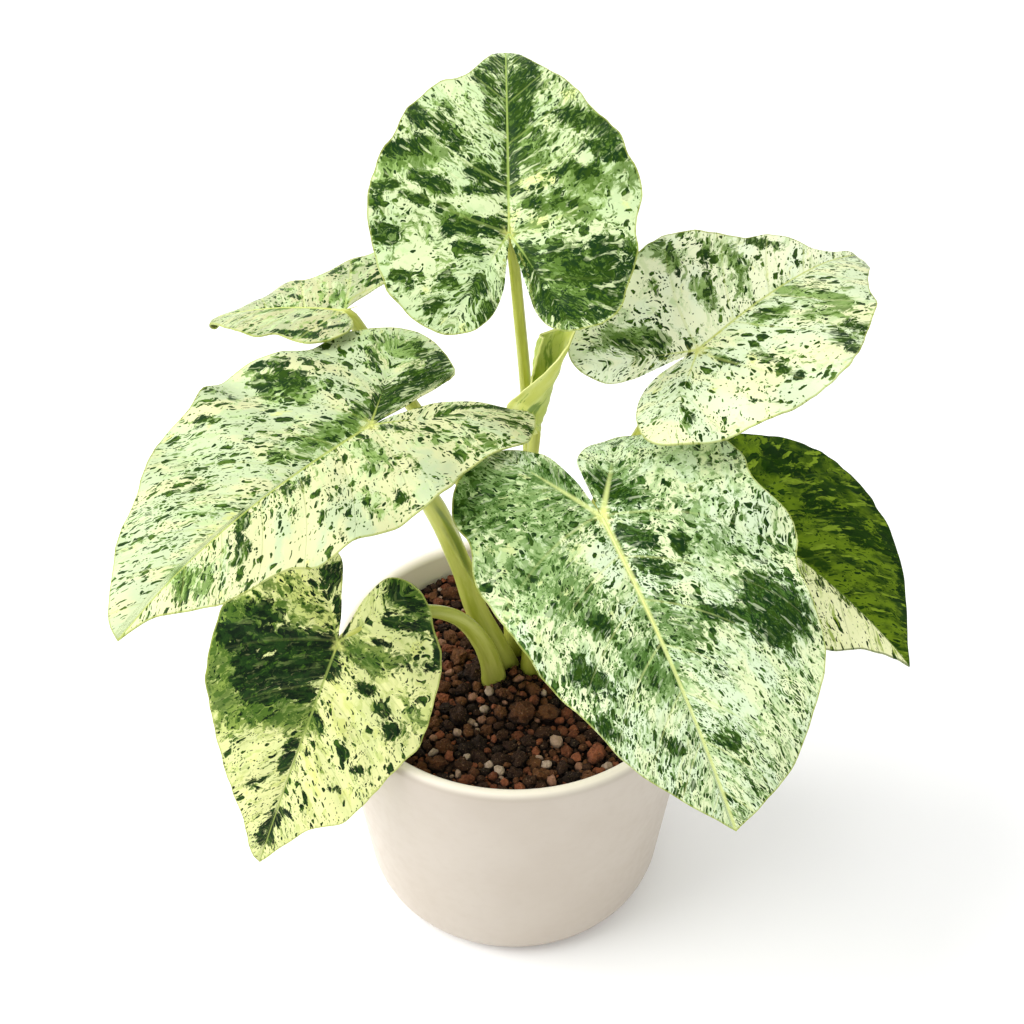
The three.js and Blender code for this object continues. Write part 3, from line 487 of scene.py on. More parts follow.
def smooth_line(points, count):
    """Evenly spaced points on a centripetal Catmull-Rom curve through the given ones."""
    given = np.asarray(points, float)
    before, after = 2 * given[0] - given[1], 2 * given[-1] - given[-2]
    knots = np.vstack([before, given, after])
    steps = 24
    u = np.linspace(0, 1, steps, endpoint=False)[:, None]
    line = []
    for p0, p1, p2, p3 in zip(knots, knots[1:], knots[2:], knots[3:]):
        spans = ((p0, p1), (p1, p2), (p2, p3))
        d0, d1, d2 = (max(np.linalg.norm(b - a), 1e-4) ** 0.5 for a, b in spans)
        t1 = (p1 - p0) / d0 - (p2 - p0) / (d0 + d1) + (p2 - p1) / d1
        t2 = (p2 - p1) / d1 - (p3 - p1) / (d1 + d2) + (p3 - p2) / d2
        t1, t2 = t1 * d1, t2 * d1
        line.append(p1 + t1 * u + (3 * (p2 - p1) - 2 * t1 - t2) * u ** 2
                    + (2 * (p1 - p2) + t1 + t2) * u ** 3)
    line = np.vstack([*line, given[-1:]])
    length = lengths_along(line)
    at = np.linspace(0, length[-1], count)
    return np.stack([np.interp(at, length, axis) for axis in line.T], -1)


def ripples(x, y, period, seed, waves=7):
    """A soft uneven field between about -1 and 1, the sum of a few plane waves."""
    draw = random.Random(seed)
    total = 0
    for _ in range(waves):
        angle, phase = draw.uniform(0, 2 * math.pi), draw.uniform(0, 2 * math.pi)
        pace = 2 * math.pi / (period * draw.uniform(0.7, 1.5))
        total = total + np.sin(pace * (x * math.cos(angle) + y * math.sin(angle)) + phase)
    return total / waves ** 0.5 / 1.4


def tube(name, line, radii, sides, up, shape=None):
    """A closed limb along a line; shape may change a radius by its angle and its place along."""
    along = unit(np.gradient(line, axis=0))
    side = unit(np.cross(along, np.asarray(up, float)))
    over = np.cross(side, along)
    angle = np.linspace(0, 2 * math.pi, sides + 1)
    radius = np.asarray(radii, float)[:, None] * np.ones_like(angle)
    if shape is not None:
        radius = radius * shape(angle[None, :], np.linspace(0, 1, len(line))[:, None])
    places = (line[:, None] + side[:, None] * (radius * np.cos(angle))[..., None]
              + over[:, None] * (radius * np.sin(angle))[..., None])
    first, last = (line[[end], None].repeat(sides + 1, 1) for end in (0, -1))
    places = np.concatenate([first, places, last])
    length = lengths_along(line)
    length = np.r_[length[0], length, length[-1]]
    piece = net(name, places)
    turns = np.broadcast_to(angle / (2 * math.pi), places.shape[:2])
    give_map(piece, "Skin", turns, np.broadcast_to(length[:, None] / 10, places.shape[:2]))
    merge(piece, 0.02, outwards=True)
    return piece


# The tools that all paints are mixed with.
def tint(red, green, blue):
    """A colour as a screen shows it, from 0 to 255, turned into the shader's own measure."""
    levels = [value / 255 for value in (red, green, blue)]
    return tuple(v / 12.92 if v <= 0.04045 else ((v + 0.055) / 1.055) ** 2.4 for v in levels) + (1,)


class Paint:
    """A procedural material, built node by node."""

    def __init__(self, name, roughness=0.5, **sockets):
        self.material = bpy.data.materials.new(name)
        self.material.use_nodes = True
        self.tree = self.material.node_tree
        self.shader = self.tree.nodes["Principled BSDF"]
        self.shader.inputs["Roughness"].default_value = roughness
        for key, value in sockets.items():
            self.shader.inputs[key.replace("_", " ")].default_value = value

    def node(self, kind, out, inputs, **settings):
        made = self.tree.nodes.new("ShaderNode" + kind)
        for key, value in settings.items():
            setattr(made, key, value)
        for key, value in inputs.items():
            if isinstance(value, bpy.types.NodeSocket):
                self.tree.links.new(value, made.inputs[key])
            else:
                made.inputs[key].default_value = value
        return made.outputs[out]

    def maths(self, operation, *values):
        return self.node("Math", 0, dict(enumerate(values)), operation=operation)

    def plus(self, one, other):
        return self.maths("ADD", one, other)

    def minus(self, one, other):
        return self.maths("SUBTRACT", one, other)

    def times(self, one, other):
        return self.maths("MULTIPLY", one, other)

    def under(self, one, other):
        """1 where the first value lies under the second, else 0."""
        return self.maths("LESS_THAN", one, other)

    def arrows(self, operation, *values):
        return self.node("VectorMath", 0, dict(enumerate(values)), operation=operation)

    def resized(self, vector, *sizes):
        return self.arrows("MULTIPLY", vector, sizes)

    def shaken(self, vector, scale, detail, rough, amount):
        """Uneven small arrows, which tear the marks that they are added to."""
        shake = self.noise(vector, scale, detail, rough, "Color")
        shake = self.arrows("SUBTRACT", shake, (0.5, 0.5, 0.5))
        return self.resized(shake, amount, amount, amount)

    def uv(self, name):
        return self.node("UVMap", 0, {}, uv_map=name)

    def place(self):
        return self.node("TexCoord", "Object", {})

    def value(self, name):
        return self.node("Attribute", "Fac", {}, attribute_name=name)

    def part(self, vector, axis):
        return self.node("SeparateXYZ", axis, {0: vector})

    def noise(self, vector, scale, detail=2.0, rough=0.5, out="Fac"):
        inputs = {"Vector": vector, "Scale": scale, "Detail": detail, "Roughness": rough}
        return self.node("TexNoise", out, inputs)

    def cells(self, vector, scale, out="Distance", flat=False):
        return self.node("TexVoronoi", out, {"Vector": vector, "Scale": scale},
                         voronoi_dimensions="2D" if flat else "3D")

    def step(self, value, low, high, start=0.0, end=1.0):
        """Rises smoothly from start to end as value goes from low to high."""
        return self.node("MapRange", 0, {0: value, 1: low, 2: high, 3: start, 4: end},
                         interpolation_type="SMOOTHSTEP")

    def blend(self, amount, under, over):
        return self.node("Mix", 2, {0: amount, 6: under, 7: over}, data_type="RGBA")

    def uneven(self, grain, low, high, one, other):
        """One colour that passes into another where a noise is high."""
        return self.blend(self.step(grain, low, high), tint(*one), tint(*other))

    def finish(self, colour, height=None, depth=0.0, strength=0.0, roughness=None):
        """Links the colour, the roughness and a bump, whose depth is in metres, to the shader."""
        self.tree.links.new(colour, self.shader.inputs["Base Color"])
        if roughness is not None:
            self.tree.links.new(roughness, self.shader.inputs["Roughness"])
        if height is not None:
            normal = self.node("Bump", 0, {"Height": height, "Distance": depth, "Strength": strength})
            self.tree.links.new(normal, self.shader.inputs["Normal"])
        return self.material


# The shape of a leaf.
def leaf_axes(leaf):
    """The way the rib leaves the stalk, the way to the leaf's left and the way its face looks."""
    heading, slope, roll = (math.radians(leaf[key]) for key in ("heading", "slope", "roll"))
    level = math.cos(slope)
    rib = np.array([math.cos(heading) * level, math.sin(heading) * level, math.sin(slope)])
    flat = np.array([-math.sin(heading), math.cos(heading), 0])
    upright = np.cross(rib, flat)
    return (rib, flat * math.cos(roll) + upright * math.sin(roll),
            upright * math.cos(roll) - flat * math.sin(roll))


def on_blade(leaf, along, beside, above=0.0):
    """Places on a leaf's sheet, along and beside its rib; beside is positive on the left."""
    along, beside = np.broadcast_arrays(np.asarray(along, float), np.asarray(beside, float))
    rib, side, face = leaf_axes(leaf)
    right = beside < 0
    width = np.abs(beside)
    lobe, fold, cup = (np.where(right, leaf[key][1], leaf[key][0]) for key in ("lobes", "folds", "cups"))

    def turn_at(s):
        bent = leaf["droop"] * (np.maximum(s, 0) / leaf["length"]) ** leaf["power"]
        hooked = np.maximum(0, s + 0.5 * width - leaf["hook"][0])
        bent = bent + leaf["hook"][1] * hooked / HOOK_LENGTH
        return np.radians(np.where(s < 0, -lobe * s / 50, -bent))

    pieces = 60
    run = rise = 0
    for i in range(pieces):
        turn = turn_at(along * (i + 0.5) / pieces)
        run = run + along / pieces * np.cos(turn)
        rise = rise + along / pieces * np.sin(turn)
    turn = turn_at(along)
    fold = np.radians(fold) * (1 - leaf["ease"] * (np.maximum(along, 0) / leaf["length"]) ** 2)
    bend = np.radians(cup) / 50
    out = (np.sin(fold + bend * width) - np.sin(fold)) / bend * np.sign(beside)
    high, waves = leaf["wave"]
    ripple = np.sin(2 * np.pi * along / waves + np.where(right, 2, 0))
    lift = (np.cos(fold) - np.cos(fold + bend * width)) / bend
    lift = lift + high * np.minimum(width / 40, 1.6) ** 2 * ripple + above
    return (np.array(leaf["at"]) + rib * (run - lift * np.sin(turn))[..., None]
            + face * (rise + lift * np.cos(turn))[..., None] + side * out[..., None])


def margin_of(leaf):
    """Both margins as one line, from the notch on the right, round the tip, to the notch again."""
    right = smooth_line([(s, -t) for s, t in leaf["right"]], EDGE_POINTS)[::-1]
    left = smooth_line(leaf["left"], EDGE_POINTS)
    line = np.vstack([right, left[1:]])
    away = np.hypot(line[:, 0], line[:, 1])
    wobble = ripples(line[:, 0], line[:, 1], 9, leaf["seed"], 9) * np.clip((away - 15) / 40, 0, 1)
    return line * (1 + EDGE_WOBBLE * wobble / np.maximum(away, 1))[:, None]


def vein_places(leaf, along, beside):
    """How far out on its side vein each point lies, and which vein that is, counted from the stalk.
    Side veins leave the rib at a lean that falls towards the tip, and the costa of each lobe at a
    lean that grows, with a second set on the costa's inner side."""
    width = np.abs(beside)
    reach = leaf["length"]
    costa_along, costa_beside = math.cos(COSTA), math.sin(COSTA)

    def source(vein):
        back = np.maximum(-vein, 0)
        return np.maximum(vein, 0) + back * costa_along, back * costa_beside

    def lean(vein):
        fore = VEIN_LEAN - VEIN_LEAN_LOST * np.clip(vein / reach, 0, 1) ** 0.8
        aft = VEIN_LEAN + COSTA_LEAN_KEPT * np.clip(-vein / LOBE_LENGTH, 0, 1.2)
        return np.radians(np.where(vein > 0, fore, aft))

    low, high = np.full_like(along, -1.5 * LOBE_LENGTH), np.full_like(along, reach * 1.2)
    halvings = 24
    for _ in range(halvings):
        middle = (low + high) / 2
        x, y = source(middle)
        angle = (np.arctan2(width - y, along - x) + np.pi / 2) % (2 * np.pi) - np.pi / 2
        ahead = angle > lean(middle) - VEIN_BEND * np.hypot(along - x, width - y)
        high, low = np.where(ahead, middle, high), np.where(ahead, low, middle)
    x, y = source(low)
    inner = np.arctan2(width, along) > COSTA
    on_costa = along * costa_along + width * costa_beside
    off_costa = np.abs(along * costa_beside - width * costa_along)
    out = np.where(inner, off_costa / math.sin(INNER_LEAN), np.hypot(along - x, width - y))
    place = np.where(inner, -np.maximum(on_costa - off_costa / math.tan(INNER_LEAN), 0), low)
    return out, place / VEIN_SPACING


def nearest(points, line):
    """The distance from each point to the nearest point of a line."""
    gap = np.full(len(points), 1e9)
    batch = 20
    for start in range(0, len(line), batch):
        near = np.linalg.norm(points[:, None] - line[None, start:start + batch], axis=2).min(1)
        gap = np.minimum(gap, near)
    return gap


def seen_at(places):
    """Where places fall in the photo, in pixels across and down."""
    upward = np.array([0, math.sin(VIEW_HEIGHT), math.cos(VIEW_HEIGHT)])
    backward = np.array([0, -math.cos(VIEW_HEIGHT), math.sin(VIEW_HEIGHT)])
    away = places - np.array(VIEW_CENTRE) - VIEW_DISTANCE * backward
    spread = PHOTO_SIDE * LENS / SENSOR / -(away @ backward)
    return PHOTO_SIDE / 2 + spread * away[..., 0], PHOTO_SIDE / 2 - spread * (away @ upward)


def patches(leaf, kind, along, beside, seen):
    """How strongly the leaf's own patches of one kind cover each point. Each patch is a rounded
    bar between two places on the blade, with a half width and a strength."""
    left, top, scale = leaf["patches"]["view"]

    def place(x, y):
        spot = np.argmin(np.hypot(seen[0] - left - x / scale, seen[1] - top - y / scale))
        return np.array([along.flat[spot], beside.flat[spot]])

    total = np.zeros_like(along)
    for x0, y0, x1, y1, half, strength in leaf["patches"].get(kind, ()):
        a, b = place(x0, y0), place(x1, y1)
        p = np.stack([along, beside], -1) - a
        share = np.clip(p @ (b - a) / max((b - a) @ (b - a), 1e-6), 0, 1)
        gap = np.linalg.norm(p - share[..., None] * (b - a), axis=-1)
        width = max(half / scale / PIXELS_PER_MM, 0.9)
        total = np.maximum(total, strength * np.exp(-0.55 * (gap / width) ** 2.4))
    return total


def rib_gap(along, beside):
    """The distance to the rib or to a lobe's costa, whichever is nearer."""
    width = np.abs(beside)
    on = along * math.cos(COSTA) + width * math.sin(COSTA)
    off = np.abs(along * math.sin(COSTA) - width * math.cos(COSTA))
    return np.minimum(np.where(along > 0, width, np.hypot(along, width)),
                      np.where((on > 0) & (on < 34), off + 0.03 * on, 99))


def blade(name, leaf):
    """A leaf blade: a net of rays from the stalk to the margin, laid on the leaf's sheet."""
    margin = margin_of(leaf)
    part = np.linspace(0, 1, RINGS + 1) ** 0.92
    along = margin[:, :1] * part
    beside = margin[:, 1:] * part
    heart = np.hypot(along, beside)
    out, vein = vein_places(leaf, along, beside)
    gap = rib_gap(along, beside)
    edge = nearest(np.stack([along.ravel(), beside.ravel()], -1), margin[1:-1]).reshape(along.shape)
    edge = np.minimum(edge, heart + 3)
    calm = np.clip(gap / 9, 0, 1) * np.clip(edge / 7, 0, 1)
    swell = leaf["quilt"] * np.abs(np.sin(np.pi * vein)) ** 1.3 * calm * np.clip(1.3 - out / 60, 0.3, 1)
    grain = SKIN_GRAIN * ripples(along, beside, 8, leaf["seed"] + 1) * calm
    hem = HEM_WAVE * ripples(along, beside, 17, leaf["seed"] + 2) * np.clip(1 - edge / 14, 0, 1) ** 2
    valley = -RIB_VALLEY * np.exp(-(gap / 2.6) ** 2)
    places = on_blade(leaf, along, beside, swell + grain + hem + valley)
    piece = net(f"leaf_{name}", places)
    side = np.where(beside < 0, 40.0, 0.0)
    give_map(piece, "Veins", out / 10, vein * VEIN_SPACING / 10 + side)
    give_map(piece, "Blade", along / 10, beside / 10)
    seen = seen_at(places)
    for kind in ("dark", "sage", "lime", "bare"):
        give(piece, kind, patches(leaf, kind, along, beside, seen))
    give(piece, "edge", edge)
    give(piece, "rib", gap)
    give(piece, "heart", heart)
    merge(piece, 0.0002)
    if piece.data.polygons[len(piece.data.polygons) // 2].normal.dot(Vector(leaf_face(leaf))) < 0:
        piece.data.flip_normals()
    apply_modifier(piece, "SOLIDIFY", thickness=BLADE_THICKNESS * MM, offset=0, use_rim=True,
                   material_offset=1, material_offset_rim=0)
    smooth(piece, 50)
    return piece


def leaf_face(leaf):
    a, b, c = on_blade(leaf, np.array([30.0, 34.0, 30.0]), np.array([8.0, 8.0, 12.0]))
    return np.cross(b - a, c - a)


def ribs(name, leaf):
    """The raised midrib and the two costae, which stand out more under the blade and sink into it
    towards their ends."""
    tip = leaf["left"][0][0]
    s = np.linspace(0.5, tip - 2.5, 60)
    line = on_blade(leaf, s, np.full_like(s, 1e-3), -0.62)
    radii = 0.16 + leaf["rib"] * (1 - np.clip(s / tip, 0, 1)) ** 1.2
    parts = [tube("rib", line, radii, 10, leaf_face(leaf))]
    for side, length in zip((1, -1), leaf["costae"]):
        reach = np.linspace(0, length, 26)
        swing = COSTA - 0.004 * reach
        line = on_blade(leaf, reach * np.cos(swing), side * (reach * np.sin(swing) + 1e-3),
                        -0.55 - 0.3 * reach / length)
        radii = 0.1 + 0.75 * leaf["rib"] * (1 - reach / length) ** 1.3
        parts.append(tube("costa", line, radii, 8, leaf_face(leaf)))
    piece = join(f"ribs_{name}", parts)
    smooth(piece, 60)
    return piece


# The leaf's paint.
class LeafPaint(Paint):
    """The batik pattern of one leaf, laid on coat by coat. Its noises run along the side veins,
    and the leaf's own patches pull each coat up or down."""

    def __init__(self, name, leaf, underside):
        look = leaf["look"]
        title = f"{'underside' if underside else 'batik'}_{name}"
        super().__init__(title, 0.4, Specular_IOR_Level=look["shine"])
        self.look = look
        self.seed = leaf["seed"]
        self.blade_map = self.uv("Blade")
        veins = self.uv("Veins")
        self.out, self.across = self.part(veins, 0), self.part(veins, 1)
        self.left = self.step(self.part(self.blade_map, 1), -0.15, 0.15)
        self.shake = self.shaken(self.blade_map, 1.1, 2.4, 0.6, 0.6)
        self.dark, self.sage, self.lime, self.bare = map(self.value, ("dark", "sage", "lime", "bare"))
        fine = look["grain"]
        self.long, self.short = self.drawn_out(look["stretch"], 0), self.drawn_out(1.3, 5)
        self.coarse = self.noise(self.long, 2.6 * fine, 4, 0.66)
        self.middle = self.noise(self.long, 3.4 * fine, 4, 0.66)
        self.small = self.noise(self.short, 4.6 * fine, 4, 0.66)
        self.tear = self.noise(self.long, 6.6 * fine, 3, 0.66)
        self.soft = self.noise(self.short, 1.4, 4, 0.6)
        self.colour = self.own("cream")

    def own(self, key):
        return tint(*self.look[key])

    def halves(self, key):
        """A value of which each half of the leaf has its own."""
        return self.step(self.left, 0.0, 1.0, self.look[key][1], self.look[key][0])

    def drawn_out(self, stretch, layer, shake=None):
        """Places in which marks are drawn out along the side veins and torn."""
        inputs = {0: self.times(self.out, 1 / stretch), 1: self.across, 2: self.seed * 1.7 + layer}
        return self.arrows("ADD", self.node("CombineXYZ", 0, inputs), shake or self.shake)

    def pulled(self, grain, *pulls):
        """Torn noise, raised or lowered where the patches pull it."""
        total = self.minus(self.times(grain, 1.8), 0.4)
        for patch, pull in pulls:
            total = self.node("Math", 0, {0: patch, 1: pull, 2: total}, operation="MULTIPLY_ADD")
        return total

    def cover(self, total, start, softness, strength=1.0):
        return self.step(total, start, start + softness, 0.0, strength)

    def coat(self, amount, over):
        """Lays a colour, or one of the leaf's own by name, over what is there."""
        over = self.own(over) if isinstance(over, str) else over
        self.colour = self.blend(amount, self.colour, over)

    def ground(self):
        """Cream and mint, with painted light paling one half of some leaves, and lime and a haze of green."""
        look = self.look
        tone = self.pulled(self.noise(self.long, 0.9, 3), (self.lime, -0.3))
        self.coat(self.cover(self.plus(tone, self.halves("mint_half")), 0.36, 0.28), "mint")
        # Painted light: a pale coat over one half of some leaves, in place of the light that brightens that
        # half.
        self.coat(self.halves("painted_light_half"), "pale")
        lime = self.pulled(self.soft, (self.lime, 0.35))
        self.coat(self.cover(lime, look["lime_at"], 0.25, 0.8), "lime")
        haze = self.pulled(self.coarse, (self.sage, 0.35), (self.bare, -0.2))
        self.coat(self.cover(haze, look["haze_at"], 0.24, 0.75), "haze")

    def washes(self):
        """Torn washes of sage, and moss over them."""
        look = self.look
        wash = self.pulled(self.middle, (self.sage, 0.42), (self.dark, 0.3), (self.bare, -0.25))
        wash = self.plus(wash, self.halves("sage_half"))
        sage = self.uneven(self.soft, 0.36, 0.66, look["sage"], look["moss"])
        self.coat(self.cover(wash, look["sage_at"], 0.17, look["wash"]), sage)
        moss = self.pulled(self.small, (self.sage, 0.2), (self.dark, 0.34), (self.bare, -0.25))
        self.coat(self.cover(moss, look["moss_at"], 0.16, 0.85), "moss")

    def blotches(self):
        """The large dark green blotches, torn by what shows through."""
        look = self.look
        blot = self.pulled(self.coarse, (self.dark, look["pull"]), (self.sage, -0.14), (self.bare, -0.25))
        self.blot = self.cover(self.plus(blot, self.halves("dark_half")), look["dark_at"], 0.1)
        self.deep = self.uneven(self.middle, 0.42, 0.6, look["deep"], look["olive"])
        torn = self.cover(self.tear, 0.54, 0.08, look["torn"])
        self.coat(self.times(self.blot, self.minus(1.0, torn)), self.deep)

    def flecks(self):
        """Dark flecks in three sizes, each set with its scale, its largest reach and its share."""
        thick = self.look["flecks"]
        crowd = self.step(self.noise(self.short, 0.6, 2), 0.36, 0.66, 0.4 * thick, 1.6 * thick)
        crowd = self.times(crowd, self.minus(1.0, self.times(self.bare, 0.7)))
        ragged = self.times(self.minus(self.tear, 0.5), 0.6)
        spread = self.drawn_out(self.look["oval"], 0)
        spread = self.arrows("ADD", spread, (self.seed * 13.7, self.seed * 5.1, 0.0))
        flecks = 0.0
        for scale, size, share in ((2.7, 0.46, 0.42), (5.2, 0.44, 0.62), (10.5, 0.4, 0.75)):
            spot = self.cells(spread, scale, flat=True)
            draw = spot.node.outputs["Color"]
            reach = self.maths("POWER", self.part(draw, 1), 1.3)
            inside = self.minus(self.step(reach, 0.0, 1.0, 0.12, size), self.plus(spot, ragged))
            chosen = self.under(self.part(draw, 0), self.times(crowd, share))
            mark = self.times(self.step(inside, -0.02, 0.06), chosen)
            flecks = self.maths("MAXIMUM", flecks, mark)
        self.coat(flecks, self.blend(self.step(self.small, 0.46, 0.62), self.deep, self.own("moss")))

    def strands(self):
        """Fine pale strands along the side veins."""
        strand = self.drawn_out(4.5, 9, self.resized(self.shake, 0.35, 0.35, 0.35))
        strand = self.cover(self.noise(strand, 5.0, 3, 0.55), 0.57, 0.06, self.look["strands"])
        self.coat(self.times(strand, self.step(self.soft, 0.42, 0.58)), "strand")

    def veins(self):
        """Pale side veins, finer and fainter towards the margin."""
        faintest = self.look["veining"]
        nearness = self.maths("PINGPONG", self.maths("DIVIDE", self.across, VEIN_SPACING / 10), 0.5)
        width = self.step(self.out, 0.0, 5.5, 0.024, 0.008)
        self.line = self.step(self.maths("DIVIDE", nearness, width), 0.6, 1.7, 1.0, 0.0)
        faint = self.step(self.out, 0.5, 4.5, faintest, 0.3 * faintest)
        faint = self.times(faint, self.step(self.part(self.blade_map, 0), -1.5, 0.4, 0.2, 1.0))
        self.coat(self.times(self.line, faint), "vein")

    def rib_and_margin(self):
        """The pale band along each rib, the spot over the stalk and the thin margin."""
        heart = self.value("heart")
        width = self.step(heart, 0.0, 90.0, self.look["band"], 0.45 * self.look["band"])
        band = self.maths("DIVIDE", self.value("rib"), width)
        self.coat(self.step(band, 0.3, 1.0, 0.8, 0.0), "vein")
        heart = self.plus(heart, self.times(self.coarse, 14.0))
        self.coat(self.step(heart, 7.0, 11.0, 0.7, 0.0), "heart")
        self.coat(self.step(self.value("edge"), 0.3, 0.85, 0.7, 0.0), "margin")


def leaf_paint(name, leaf, underside=False):
    paint = LeafPaint(name, leaf, underside)
    paint.ground()
    paint.washes()
    paint.blotches()
    paint.flecks()
    paint.strands()
    paint.veins()
    paint.rib_and_margin()
    if underside:
        paint.coat(0.45, "back")
    vein_height, dull, dark_dull = (-1.0, 0.62, 0.55) if underside else (1.0, 0.42, 0.3)
    skin = paint.noise(paint.place(), 700, 2)
    height = paint.minus(paint.times(skin, 0.25), paint.times(paint.line, vein_height))
    sheen = paint.step(paint.blot, 0.0, 1.0, dull, dark_dull)
    return paint.finish(paint.colour, height, 0.0003, 0.5, sheen)


def rib_paint(name, look):
    paint = Paint(f"rib_{name}", 0.42)
    skin = paint.uv("Skin")
    colour = paint.uneven(paint.noise(skin, 1.5, 3), 0.35, 0.65, look["vein"], look["heart"])
    return paint.finish(colour, paint.noise(skin, 9, 2), 0.0002, 0.4)


for name, leaf in LEAVES.items():
    look = {**PLAIN_LOOK, **LOOKS[name]}
    LEAVES[name] = {**PLAIN_LEAF, **leaf, "look": look, "patches": PATCHES[name]}


# The furled leaf.
def furled_leaf():
    """The young leaf, still rolled like a funnel round its own rib."""
    across, up = 72, 96
    cuts = np.stack([smooth_line(row, across) for row in FURL])
    places = np.stack([smooth_line(cuts[:, i], up) for i in range(across)])
    u = np.linspace(0, 1, across)[:, None] * np.ones(up)
    v = np.linspace(0, 1, up)[None, :] * np.ones((across, 1))
    normal = unit(np.cross(np.gradient(places, axis=0), np.gradient(places, axis=1)))
    swell = 0.22 * np.sin(np.pi * (v * 9 + u * 2.5)) ** 2 + 0.12 * ripples(u * 40, v * 50, 9, 11)
    piece = net("furled_leaf", places + normal * swell[..., None])
    give_map(piece, "Veins", v * 6, u * 7)
    give_map(piece, "Blade", v * 6, u * 7)
    edge = np.minimum(np.minimum(u, 1 - u) * 45, np.minimum(1 - v, 1) * 50)
    give(piece, "edge", edge)
    give(piece, "turned", u)
    green = np.exp(-((u - 0.36) / 0.1) ** 2 - ((v - 0.3) / 0.09) ** 2)
    green = np.maximum(green, 0.9 * np.exp(-((u - 0.62) / 0.1) ** 2 - ((v - 0.72) / 0.3) ** 2))
    give(piece, "dark", green)
    merge(piece, 0.002)
    apply_modifier(piece, "SOLIDIFY", thickness=BLADE_THICKNESS * MM, offset=0, use_rim=True)
    smooth(piece, 50)
    return piece


def furled_paint():
    paint = Paint("young_leaf", 0.4)
    veins = paint.uv("Veins")
    shake = paint.shaken(veins, 2.0, 2, 0.5, 0.5)
    flow = paint.arrows("ADD", paint.resized(veins, 0.6, 1.3, 1.0), shake)
    colour = paint.uneven(paint.noise(flow, 0.8, 3), 0.4, 0.62, (204, 211, 100), (218, 224, 138))
    streaks = paint.step(paint.noise(flow, 1.6, 5), 0.55, 0.66, 0, 0.8)
    colour = paint.blend(streaks, colour, tint(168, 188, 66))
    shaded = paint.step(paint.value("turned"), 0.18, 0.42, 0.0, 0.6)
    colour = paint.blend(shaded, colour, tint(150, 172, 62))
    patch = paint.plus(paint.noise(flow, 1.5, 5), paint.times(paint.value("dark"), 0.4))
    colour = paint.blend(paint.step(patch, 0.68, 0.84, 0, 0.9), colour, tint(96, 128, 24))
    speck = paint.step(paint.minus(0.22, paint.cells(flow, 4.0)), 0, 0.05)
    pick = paint.part(paint.cells(flow, 4.0, "Color"), 0)
    colour = paint.blend(paint.times(speck, paint.under(pick, 0.25)), colour, tint(112, 140, 46))
    colour = paint.blend(paint.step(paint.value("edge"), 0.4, 1.1, 0.8, 0.0), colour, tint(226, 228, 140))
    height = paint.noise(paint.resized(veins, 0.6, 14.0, 1.0), 1.0, 2)
    return paint.finish(colour, height, 0.0003, 0.5)


# The stalks.
def stalk(name, made):
    """A fleshy stalk, thicker where it leaves the soil, whose end stays under its leaf's sheet."""
    path = made["path"]
    line = smooth_line(path, STALK_POINTS)
    spots = [np.argmin(np.linalg.norm(line - np.array(p), axis=1)) for p in path]
    radius = np.interp(np.arange(STALK_POINTS), spots, made["radii"])
    if name in LEAVES:
        rib, _, face = leaf_axes(LEAVES[name])
        away = line - np.array(LEAVES[name]["at"])
        over = away @ face + radius + 0.1
        close = np.linalg.norm(away, axis=1) < 25
        line = line - face * (np.maximum(over, 0) * close * np.clip((away @ rib + 9) / 7, 0, 1))[:, None]
    low = np.clip((FLARE_TOP - line[:, 2]) / FLARE_HEIGHT, 0, 1) ** 1.5
    radius = radius * (1 + made.get("flare", PLAIN_FLARE) * low)
    sides, shape = 24, None
    if name in GROOVES:
        turns, depth, start, end = GROOVES[name]
        sides = 48

        def shape(angle, along):
            facing = np.radians(np.interp(along, (start, end), turns))
            away = 1 - np.cos(angle - facing)
            here = np.clip((along - start) / 0.08, 0, 1) * np.clip((end - along) / 0.08, 0, 1)
            lip = np.exp(-((away - 0.12) / 0.08) ** 2) * np.where(np.sin(angle - facing) < 0, 0.2, 0.06)
            return 1 + here * (lip - depth * np.exp(-(away / 0.035) ** 2))
    piece = tube(f"stalk_{name}_flesh", line, radius, sides, (0.31, -0.95, 0.05), shape)
    smooth(piece, 60)
    return piece


def stalk_paint(name, pale, green, base, groove=None):
    """Long soft streaks on a smooth stalk, darker where it leaves the soil and in an open
    sheath's groove, which is given by its turn round the stalk and where it starts and ends."""
    paint = Paint(name, 0.36)
    skin = paint.uv("Skin")
    streaks = paint.noise(paint.resized(skin, 7.0, 0.3, 1.0), 1.0, 4, 0.6)
    colour = paint.uneven(streaks, 0.35, 0.65, pale, green)
    fine = paint.noise(paint.resized(skin, 34.0, 0.6, 1.0), 1.0, 2)
    colour = paint.blend(paint.step(fine, 0.55, 0.8, 0.0, 0.3), colour, tint(*green))
    low = paint.part(paint.place(), 2)
    colour = paint.blend(paint.step(low, 0.112, 0.132, 0.75, 0.0), colour, tint(*base))
    if groove:
        turn, twist, start, end = groove
        reach = paint.part(skin, 1)
        turn = paint.plus(paint.times(paint.minus(reach, start), twist), turn)
        gap = paint.maths("ABSOLUTE", paint.minus(paint.part(skin, 0), turn))
        held = paint.times(paint.step(reach, start, start + 2), paint.step(reach, end, end + 1, 1.0, 0.0))
        shaded = paint.times(paint.step(gap, 0.015, 0.05, 0.85, 0.0), held)
        colour = paint.blend(shaded, colour, tint(96, 116, 22))
    height = paint.plus(paint.times(fine, 0.6), paint.times(paint.noise(paint.place(), 900, 2), 0.3))
    return paint.finish(colour, height, 0.0003, 0.4)


